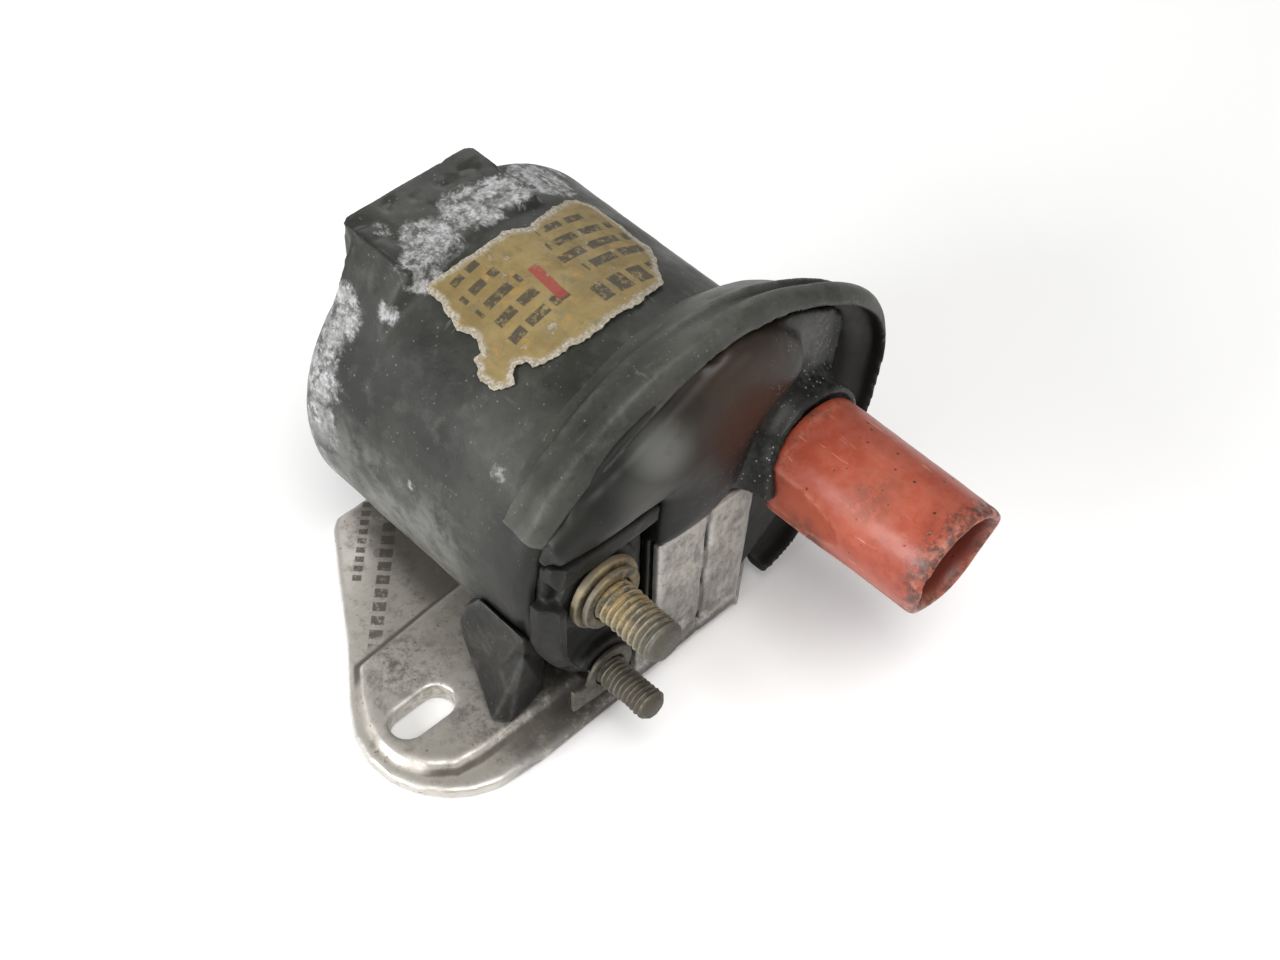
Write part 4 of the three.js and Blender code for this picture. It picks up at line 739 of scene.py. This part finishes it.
# ---- domed front cap with the tower seat
def build_cap():
    v = 0.5
    disc = rod(0, AX, 33.7, 2.3, 4.3, 160)
    TOP = [(-30.8, 55.0), (-24, 60.2), (-17.7, 62.4), (-11.4, 64.6), (-5.0, 67.2), (1.3, 70.4), (7.8, 72.4), (14.6, 71.5), (21, 67.5), (25.2, 62), (25.4, 57), (21.5, 53), (15.5, 49.5), (12.6, 43), (12.2, 36.6)]
    LOW = [(12.2, 36.6), (-8.4, 36.6), (-8.4, 49.6), (-30.4, 49.6), (-30.8, 55.0)]
    WEB = [(14, 71.5), (25, 67.4), (36, 61.0), (40.5, 55.5), (41.2, 48), (41.6, 40), (41.0, 33), (34, 30), (12, 36.6), (12, 60)]
    def seg_d(P, q, closed=False):
        best = np.full(len(q), 1e9)
        for k in range(len(P) if closed else len(P) - 1):
            p0, p1 = np.array(P[k], float), np.array(P[(k + 1) % len(P)], float); e = p1 - p0
            tt = np.clip(((q - p0) @ e) / (e @ e), 0, 1); best = np.minimum(best, np.linalg.norm(q - (p0 + tt[:, None] * e), axis=1))
        return best
    def in_poly(P, q):
        c = np.zeros(len(q), bool)
        for k in range(len(P)):
            p0, p1 = P[k - 1], P[k]; m = (p0[1] > q[:, 1]) != (p1[1] > q[:, 1])
            c ^= m & (q[:, 0] < (p1[0] - p0[0]) * (q[:, 1] - p0[1]) / (p1[1] - p0[1] + 1e-12) + p0[0])
        return c
    st = 0.45; gx = np.arange(-32.4, 43.2, st); window_highlight = np.arange(29.7, 74.0, st); nx, nz = len(gx), len(window_highlight)
    Q = np.stack(np.meshgrid(gx, window_highlight, indexing="ij"), -1).reshape(-1, 2)
    inD = in_poly(TOP + LOW[1:-1], Q); inW = in_poly(WEB, Q)
    dt = seg_d(crom(TOP, 6), Q); db = seg_d(LOW[:-1], Q)
    gg = np.sqrt(np.clip(1 - (1 - np.clip(dt / 12.5, 0, 1)) ** 2, 0, 1)); hh = 0.22 + 0.78 * np.sqrt(np.clip(1 - (1 - np.clip(db / 9.0, 0, 1)) ** 2, 0, 1))
    Yf = np.where(inD, 2.7 - 5.9 * gg * hh, np.where(inW, 2.5 + 0.04 * seg_d(crom(TOP, 6), Q) + 1.0 * sstep(Q[:, 0], 30, 41), 9.0))
    ok = (inD | inW).reshape(nx, nz); Yf = Yf.reshape(nx, nz)
    vid = -np.ones((nx, nz), int); verts = []; faces = []
    cell = ok[:-1, :-1] & ok[1:, :-1] & ok[:-1, 1:] & ok[1:, 1:]
    use = np.zeros((nx, nz), bool); use[:-1, :-1] |= cell; use[1:, :-1] |= cell; use[:-1, 1:] |= cell; use[1:, 1:] |= cell
    for u in range(nx):
        for w in range(nz):
            if use[u, w]: vid[u, w] = len(verts); verts.append((gx[u], Yf[u, w], window_highlight[w]))
    nf = len(verts); verts += [(v_[0], 4.35, v_[2]) for v_ in verts[:nf]]; cnt = {}
    for u in range(nx - 1):
        for w in range(nz - 1):
            if cell[u, w]:
                f = (vid[u, w], vid[u + 1, w], vid[u + 1, w + 1], vid[u, w + 1]); faces.append(f); faces.append(tuple(nf + q_ for q_ in reversed(f)))
                for k in range(4):
                    e = (f[k], f[(k + 1) % 4]); cnt.setdefault((min(e), max(e)), []).append(e)
    for l in cnt.values():
        if len(l) == 1: e0, e1 = l[0]; faces.append((e1, e0, nf + e0, nf + e1))
    dome = raw(verts, faces)
    seat = cut(rod(TX, TZ, 12.3, -2.0, 4.0, 96), rod(0, AX, 36.6, -10, 4.2, 128), op="INTERSECT")
    rows = []
    for k in range(120):
        th = math.radians(3.0 * k); deg = 3.0 * k
        w1 = math.exp(-(((deg - 150 + 180) % 360 - 180) / 58.0) ** 2); w2 = math.exp(-(((deg - 200 + 180) % 360 - 180) / 62.0) ** 2)
        ro = 13.6 + 4.4 * w1; yh = 3.0 + 2.9 * w2; P = [(0.6, 4.0), (ro, 4.0)]
        P += [(12.8 + (ro - 12.8) * (1 - t) ** 2.3, 2.5 * (1 - t) - yh * t) for t in np.linspace(0, 1, 14)] + [(12.2, -yh - 0.25), (0.6, -yh - 0.25)]
        rows.append([(TX + r * math.cos(th), y, TZ + r * math.sin(th)) for r, y in P])
    fil = cut(grid(rows, close_u=True, close_v=True, cap=False), box(-30, 60, -12, 4.2, 36.6, 75), op="INTERSECT")
    spig = tube(0, AX, 28.2, 31.1, 3.6, 10.5, 96)
    o = join(disc, dome, seat, fil, spig)
    remesh(o, v, 4, 0.5)
    cut(o, box(-50, -8.2, -20, 20, -5, 49.4), box(-9, 17.4, -20, 2.35, -5, 36.3), box(-60, 60, -20, 20, -5, 2.8), cut(rod(TX, TZ, 11.55, -20, -2.0, 96), box(TX - 10.55, TX + 10.55, -21, 0, 20, 80), op="INTERSECT"), rod(TX, TZ, 5.6, -20, 20, 48))
    remesh(o, v, 6, 0.5)
    push(o, lambda c, n: fbm(c, 7, 3, 24) * 0.22 + fbm(c, 1.5, 2, 27) * 0.03)
    return finish(o, "moulded_cap", M_CAP, ["front_cap"])
build_cap()

# ---- high-tension tower
def build_tower():
    outer = [(0.2, 10.4), (5.2, 10.4), (5.2, -3.0), (10.6, -3.05), (11.15, -3.4), (11.3, -4.2)] + [(11.3 - 0.25 * t, -4.2 - 32.0 * t) for t in np.linspace(0.03, 1, 60)] + [(10.95, -36.7), (10.75, -37.25), (10.45, -37.5), (10.1, -37.5), (9.8, -37.3), (9.5, -36.6), (9.1, -35.4)]
    inner = [(9.1 - 1.3 * t, -35.4 + 26.7 * t) for t in np.linspace(0.04, 1, 40)] + [(7.0, -8.1), (4.2, -7.4), (3.4, -6.6), (3.4, 8), (0.2, 8)]
    prof = outer + inner
    seg = 160; rows = []
    for i in range(seg):
        a = 2 * math.pi * i / seg; dx, dz = math.sin(a), math.cos(a)
        ring = []
        for j, (r, y) in enumerate(prof):
            if j < len(outer) - 5 and r > 9:
                    fade = 1 - float(sstep(-y, 9, 27))
                    # raised band along the underside, flats on both sides that fade towards the tip
                    if dz < -0.40:
                        rk = 11.3 + 0.2 + 0.45 * fade
                        r = max(r, min(rk, (9.9 + 0.2 * fade) / max(abs(dx), 1e-6)) - (11.3 - r))
                    xf = 10.3 + 1.2 * (1 - fade)
                    r = min(r, xf / max(abs(dx), 1e-6))
            ring.append((TX + r * dx, y, TZ + r * dz))
        rows.append(ring)
    o = grid(rows, close_u=True, close_v=True, cap=False)
    co = coords(o); n = normals(o)
    rr_ = np.hypot(co[:, 0] - TX, co[:, 2] - TZ)
    wdir = ((co[:, 0] - TX) * 0.25 - (co[:, 2] - TZ) * 0.97) / np.maximum(rr_, 1)
    co[:, 1] += 2.5 * sstep(wdir, -0.5, 0.95) * sstep(co[:, 1], -28, -37.4) * (rr_ > 6)
    lipz = sstep(co[:, 1], -33.6, -35.6) * sstep(rr_, 8.0, 9.0)
    chip = lipz * np.clip(fbm(co, 4.2, 4, 51) - 0.22, 0, 1) * 1.8
    d = fbm(co, 9, 3, 44) * 0.12 + fbm(co, 2.0, 2, 49) * 0.02 - chip
    # the front half of the tower is a little dented
    d = d * sstep(co[:, 1], -2.5, -5)
    setco(o, co + n * d[:, None])
    ang = np.degrees(np.arctan2(co[:, 0] - TX, -(co[:, 2] - TZ)))
    kc = curvature(o, 10, 0.12)
    attr(o, "ridge", np.clip(kc, 0, 1) * (rr_ > 9.2) * sstep(co[:, 1], -4, -6))
    attr(o, "bore", sstep(rr_, 9.7, 9.2) * sstep(co[:, 1], -9, -12))
    attr(o, "lip", sstep(co[:, 1], -31.5, -36.0) * (rr_ > 9.2))
    return finish(o, "ht_tower_red", M_RED, ["ht_tower"], 60)
build_tower()

# ---- threaded studs
def stud(name, node, x, z, r, tip, end, pitch, depth, mat, seed):
    seg = 72; ys = np.arange(tip, end + 1e-6, pitch / 14.0); rows = []
    for y in ys:
        ring = []
        for k in range(seg):
            a = 2 * math.pi * k / seg
            ph = ((y - tip) / pitch + k / seg) % 1.0; t = abs(2 * ph - 1)            # 0 root .. 1 crest
            prof = np.clip((t - 0.14) / 0.68, 0, 1)
            rr_ = r - depth * (1 - prof) * min(1.0, 0.35 + 0.65 * sstep(y - tip, 0, 2.2))
            rr_ = min(rr_, r - 0.95 + (y - tip) * 0.95 if y - tip < 1.0 else 1e9)
            ring.append((x + rr_ * math.sin(a), y, z + rr_ * math.cos(a)))
        rows.append(ring)
    o = grid(rows)
    co = coords(o); n = normals(o)
    rad_ = np.hypot(co[:, 0] - x, co[:, 2] - z)
    edge_crease = np.clip((rad_ - (r - depth * 0.5)) / (depth * 0.5), -1, 1)
    crest = np.clip(edge_crease, 0, 1)
    d = fbm(co, 0.8, 3, seed) * 0.11 - crest * np.clip(fbm(co, 2.4, 3, seed + 3) + 0.22, 0, 1) * 0.5
    setco(o, co + n * d[:, None])
    attr(o, "edge_crease", edge_crease)
    return finish(o, name, mat, [node])
stud("stud_m8", "stud_large", -21.2, 37.4, 4.0, -15.5, 11.5, 1.25, 0.52, M_ZINC, 61)
stud("stud_m6", "stud_small", -19.7, 13.9, 3.0, -11.9, 4.3, 1.0, 0.44, M_ZINC3, 71)

def turned_ring(name, node, x, z, r0, r1, y0, y1, e, mat, seed, rough=0.10):
    P = [(r0, y1 - e), (r0, y0 + e), (r0 + e * .3, y0 + e * .3), (r0 + e, y0)] + [(r0 + (r1 - r0) * t, y0) for t in (0.3, 0.5, 0.7)] + [(r1 - e, y0), (r1 - e * .3, y0 + e * .3), (r1, y0 + e), (r1, (y0 + y1) / 2), (r1, y1 - e), (r1 - e * .3, y1 - e * .3), (r1 - e, y1)] + [(r0 + (r1 - r0) * t, y1) for t in (0.7, 0.4)] + [(r0 + e, y1), (r0 + e * .3, y1 - e * .3)]
    o = lathe(P, x, z, 120, True)
    m = o.modifiers.new("s", "SUBSURF"); m.levels = 1; m.subdivision_type = "SIMPLE"; bake(o)
    co = coords(o)
    push(o, lambda c, n: fbm(c, 1.6, 3, seed) * rough + fbm(c, 5, 2, seed + 1) * rough)
    attr(o, "edge_crease", np.clip((np.hypot(co[:, 0] - x, co[:, 2] - z) - (r1 - 0.5)) / 0.5, -0.3, 1))
    return finish(o, name, mat, [node])
turned_ring("stud_m8_collar", "stud_large_collar", -21.2, 37.4, 4.2, 7.1, -1.4, 0.3, 0.45, M_ZINC2, 81)
turned_ring("stud_m8_washer", "stud_large_washer", -21.2, 37.4, 4.15, 6.1, -2.9, -1.7, 0.35, M_ZINC3, 91)

def remeshed(node, name, mat, v, smooth, seed, amp=0.08, dirty=True):
    o = copy_node(node); remesh(o, v, smooth, 0.5)
    k = curvature(o, 10, 0.25)
    push(o, lambda c, n: fbm(c, 5, 3, seed) * amp - np.clip(k, 0, 1) * np.clip(fbm(c, 2.5, 3, seed + 5) - 0.15, 0, 1) * 0.5)
    attr(o, "edge_crease", k)
    return finish(o, name, mat, [node])
remeshed("stud_small_lug", "stud_m6_lug", M_ZINC3, 0.22, 2, 101, 0.10)
def build_carrier():
    o = copy_node("terminal_carrier"); remesh(o, 0.42, 7, 0.5)
    co = coords(o); dx, dz = co[:, 0], co[:, 2] - AX; r = np.hypot(dx, dz)
    lim = 33.9 - 2.6 * sstep(co[:, 1], 3.2, -0.5)
    f = np.where((co[:, 1] < 4.5) & (r > lim), lim / r, 1.0); co[:, 0] = dx * f; co[:, 2] = dz * f + AX; setco(o, co)
    push(o, lambda c, n: fbm(c, 4, 3, 111) * 0.22 + fbm(c, 1.2, 2, 113) * 0.05)
    attr(o, "edge_crease", curvature(o, 10, 0.25))
    return finish(o, "terminal_moulding", M_CARRIER, ["terminal_carrier"])
build_carrier()
def build_foot(sign, name, node, seed):
    P1 = [(-34.2, 20.1, 24.4), (-34.4, 15.2, 31.6), (-34.2, 5.0, 31.0), (-34.3, 11.8, 14.0), (-34.0, 21.9, 17.7), (-34.0, 18.7, 9.2), (-32.0, 21.4, 4.45), (-27, 27.2, 4.45), (-25, 27, 10), (-28, 22, 22), (-28, 7.4, 22), (-24, 11, 6), (-30, 9.5, 4.45)]
    P2 = [(-34.3, 11.8, 14.2), (-34.0, 18.7, 9.2), (-32.8, 19.5, 4.45), (-37.6, 9.8, 4.45), (-35.6, 7.2, 4.45), (-26.5, 8.6, 4.45), (-26, 9.6, 14), (-33.6, 5.6, 24), (-36.6, 9.6, 6.0)]
    o = join(hull(P1), hull(P2), box(-27.5, -14, 13.4, 27.6, 4.45, 8.2))
    if sign > 0:
        co = coords(o); co[:, 0] *= -1; co[:, 1] = DEPTH - co[:, 1]; setco(o, co)
    remesh(o, 0.36, 3, 0.5); k = curvature(o, 10, 0.22)
    push(o, lambda c, n: fbm(c, 4, 3, seed) * 0.22 - np.clip(k, 0, 1) * np.clip(fbm(c, 2.5, 3, seed + 5) - 0.1, 0, 1) * 0.6)
    attr(o, "edge_crease", k)
    return finish(o, name, M_FOOT, [node])
build_foot(-1, "moulded_foot_left", "foot_left", 121); build_foot(1, "moulded_foot_right", "foot_right", 131)
for n_, s_ in (("foot_rear", 141), ("foot_front", 151)):
    remeshed(n_, "moulded_" + n_, M_FOOT, 0.42, 5, s_, 0.10)

# ---- printed label, torn round its edge
def build_label():
    pts = [(-28.2, 48.0), (-23.8, 47.1), (-12.2, 45.6), (-7.9, 45.1), (-1.7, 45.5), (5.4, 43.7), (13.2, 45.0), (23.0, 46.4), (28.1, 46.5), (31.8, 43.8), (32.1, 37.3), (30.6, 29.1), (24.8, 24.7), (19.4, 20.3), (6.6, 18.9), (-4.0, 18.8), (-12.4, 19.2), (-19.2, 20.3), (-23.9, 21.0), (-26.8, 22.0),
           (-26.8, 23.3), (-28.7, 24.4), (-31.1, 24.0), (-32.9, 22.7), (-35.1, 23.6), (-37.4, 25.1), (-37.3, 28.4), (-34.5, 31.5), (-32.2, 31.2), (-30.6, 33.2), (-30.3, 35.5), (-31.5, 37.4), (-30.1, 40.4), (-29.0, 42.9), (-28.2, 45.8)]
    # angle to arc length, mm
    P = np.array([(rad(a) * 34.4, y) for a, y in pts])
    dense = []
    rng = np.random.default_rng(7)
    for i in range(len(P)):
        a, b = P[i], P[(i + 1) % len(P)]; L = np.linalg.norm(b - a); n = max(2, int(L / 0.35)); t = (b - a) / L; nn = np.array([-t[1], t[0]])
        for k in range(n):
            q = a + (b - a) * k / n; q3 = np.array([[q[0], q[1], 0.0]])
            j = float(fbm(q3, 2.4, 4, 5)[0]) * 0.45 + float(fbm(q3, 0.7, 2, 9)[0]) * 0.28
            dense.append(q + nn * j)
    D = np.array(dense); nb = len(D)
    gx, gy = np.meshgrid(np.arange(D[:, 0].min(), D[:, 0].max(), 0.45), np.arange(D[:, 1].min(), D[:, 1].max(), 0.45))
    G = np.stack([gx.ravel(), gy.ravel()], 1)
    A = D; B = np.roll(D, -1, 0)
    def inside(Q):
        c = np.zeros(len(Q), bool)
        for a, b in zip(A, B):
            m = (a[1] > Q[:, 1]) != (b[1] > Q[:, 1])
            with np.errstate(divide="ignore", invalid="ignore"): xx = (b[0] - a[0]) * (Q[:, 1] - a[1]) / (b[1] - a[1] + 1e-12) + a[0]
            c ^= m & (Q[:, 0] < xx)
        return c
    def edged(Q):
        best = np.full(len(Q), 1e9)
        for a, b in zip(A, B):
            ab = b - a; t = np.clip(((Q - a) @ ab) / max(ab @ ab, 1e-9), 0, 1); best = np.minimum(best, np.linalg.norm(Q - (a + t[:, None] * ab), axis=1))
        return best
    G = G[inside(G)]; G = G[edged(G) > 0.3]
    V = [Vector(p) for p in D] + [Vector(p) for p in G]
    r = geometry.delaunay_2d_cdt(V, [], [list(range(nb))], 1, 1e-6)
    Q = np.array([tuple(p) for p in r[0]]); F = r[2]
    e = edged(Q)
    q3 = np.stack([Q[:, 0], Q[:, 1], np.zeros(len(Q))], 1)
    lift = 0.10 + 0.10 * fbm(q3, 6, 3, 61) + 0.05 * fbm(q3, 1.5, 2, 66) + 0.38 * np.clip(fbm(q3, 5, 3, 71) + 0.05, 0, 1) * sstep(e, 2.2, 0)
    holes = fbm(q3, 2.2, 3, 81)
    top = 34.45 + np.clip(lift, 0.02, 0.8)
    th = Q[:, 0] / 34.4
    def wrap(rad_): return np.stack([rad_ * np.sin(th), Q[:, 1], AX + rad_ * np.cos(th)], 1)
    T, Bm = wrap(top), wrap(top - 0.16); n = len(Q)
    faces = [tuple(f) for f in F] + [tuple(n + i for i in reversed(f)) for f in F]
    cnt = {}
    for f in F:
        for i in range(len(f)):
            a, b = f[i], f[(i + 1) % len(f)]; cnt.setdefault((min(a, b), max(a, b)), []).append((a, b))
    for kk, l in cnt.items():
        if len(l) == 1: a, b = l[0]; faces.append((b, a, n + a, n + b))
    me = bpy.data.meshes.new("tmp"); me.from_pydata([tuple(p) for p in np.concatenate([T, Bm])], [], faces); me.update()
    o = bpy.data.objects.new("tmp", me); bpy.context.scene.collection.objects.link(o)
    bm = bmesh.new(); bm.from_mesh(me); bmesh.ops.recalc_face_normals(bm, faces=bm.faces); bm.to_mesh(me); bm.free()
    attr(o, "edge", np.concatenate([e, e]) / 2.0)
    return finish(o, "paper_label", M_LABEL, ["label"], 45)
build_label()
# ------------------------------------------------------------------ inner pieces keep their CAD shape
INNER = {"core_laminations": M_IRON, "rear_yoke": M_IRON, "magnetic_jacket": M_IRON, "secondary_bobbin": M_NYLON, "primary_bobbin": M_NYLON,
         "secondary_winding_front": M_COPPER, "secondary_winding_rear": M_COPPER, "primary_winding": M_COPPER, "rear_insulator": M_NYLON, "front_insulator": M_NYLON,
         "potting_compound": M_RESIN, "cap_seal": M_RUBBER, "ht_lead": M_COPPER, "ht_contact": M_BRASS,
         "rivet_left": M_RIVET, "rivet_right": M_RIVET, "rivet_rear": M_RIVET, "rivet_front": M_RIVET}
for n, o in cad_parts.items():
    mat = INNER.get(n)
    if mat is None: mat = M_FOOT
    if not o.data.materials: o.data.materials.append(mat)
    for s in o.material_slots: s.material = mat

# ------------------------------------------------------------------ stage, light, camera
lo = CAD_BOX[0]
bpy.ops.mesh.primitive_plane_add(size=6.0, location=(0, 0, lo[2] - 0.0002))
floor = bpy.context.object; floor.name = "floor"
mf = bpy.data.materials.new("floor_pale"); mf.use_nodes = True
bf = mf.node_tree.nodes["Principled BSDF"]; bf.inputs["Base Color"].default_value = (0.93, 0.93, 0.93, 1); bf.inputs["Roughness"].default_value = 0.9
bf.inputs["Specular IOR Level"].default_value = 0.1
floor.data.materials.append(mf)

world = bpy.data.worlds.new("studio"); bpy.context.scene.world = world; world.use_nodes = True
world.node_tree.nodes["Background"].inputs[0].default_value = (1.0, 1.0, 1.0, 1); world.node_tree.nodes["Background"].inputs[1].default_value = 0.33

def area(name, loc, target, size, power, color=(1, 1, 1), size_y=None):
    d = bpy.data.lights.new(name, "AREA"); d.energy = power; d.color = color; d.shape = "RECTANGLE"; d.size = size; d.size_y = size_y or size
    o = bpy.data.objects.new(name, d); bpy.context.scene.collection.objects.link(o)
    o.location = loc; o.rotation_mode = "QUATERNION"; o.rotation_quaternion = (Vector(target) - Vector(loc)).to_track_quat("-Z", "Y")
    return o
area("key_top", (-0.10, -0.30, 0.75), (0, 0, 0.03), 0.45, 4.0, (1.0, 0.99, 0.97))
area("fill_left", (-0.70, 0.10, 0.30), (-0.02, 0, 0.03), 0.5, 5.6, (1.0, 1.0, 1.0), 0.35)
area("front_low", (0.30, -0.75, 0.30), (0, -0.02, 0.03), 0.5, 0.9, (1.0, 1.0, 1.0), 0.35)
area("back_right", (0.45, 0.55, 0.45), (0, 0, 0.04), 0.4, 1.5, (1.0, 1.0, 1.0))

# camera: azimuth about -45.5, elevation 50, a slight roll
AZ, EL, ROLL = rad(-45.5), rad(50.0), rad(-2.0)
back = Vector((math.sin(AZ) * math.cos(EL), -math.cos(AZ) * math.cos(EL), math.sin(EL)))
right = Vector((math.cos(AZ), math.sin(AZ), 0.0)); up = back.cross(right)
cr, sr = math.cos(ROLL), math.sin(ROLL)
cx = right * cr - up * sr; cy = right * sr + up * cr
cd = bpy.data.cameras.new("camera"); cam = bpy.data.objects.new("camera", cd); bpy.context.scene.collection.objects.link(cam)
cd.sensor_width = 36.0; cd.lens = 2005.0 / 1280.0 * 36.0; cd.clip_start = 0.01; cd.clip_end = 20.0
centre = Vector((-0.1567546, (-141.155231 - DEPTH / 2) / 1000, 0.2983636))
cam.matrix_world = Matrix(((cx.x, cy.x, back.x, centre.x), (cx.y, cy.y, back.y, centre.y), (cx.z, cy.z, back.z, centre.z), (0, 0, 0, 1)))
bpy.context.scene.camera = cam
bpy.context.scene.view_settings.view_transform = "Standard"
bpy.context.scene.view_settings.look = "None"
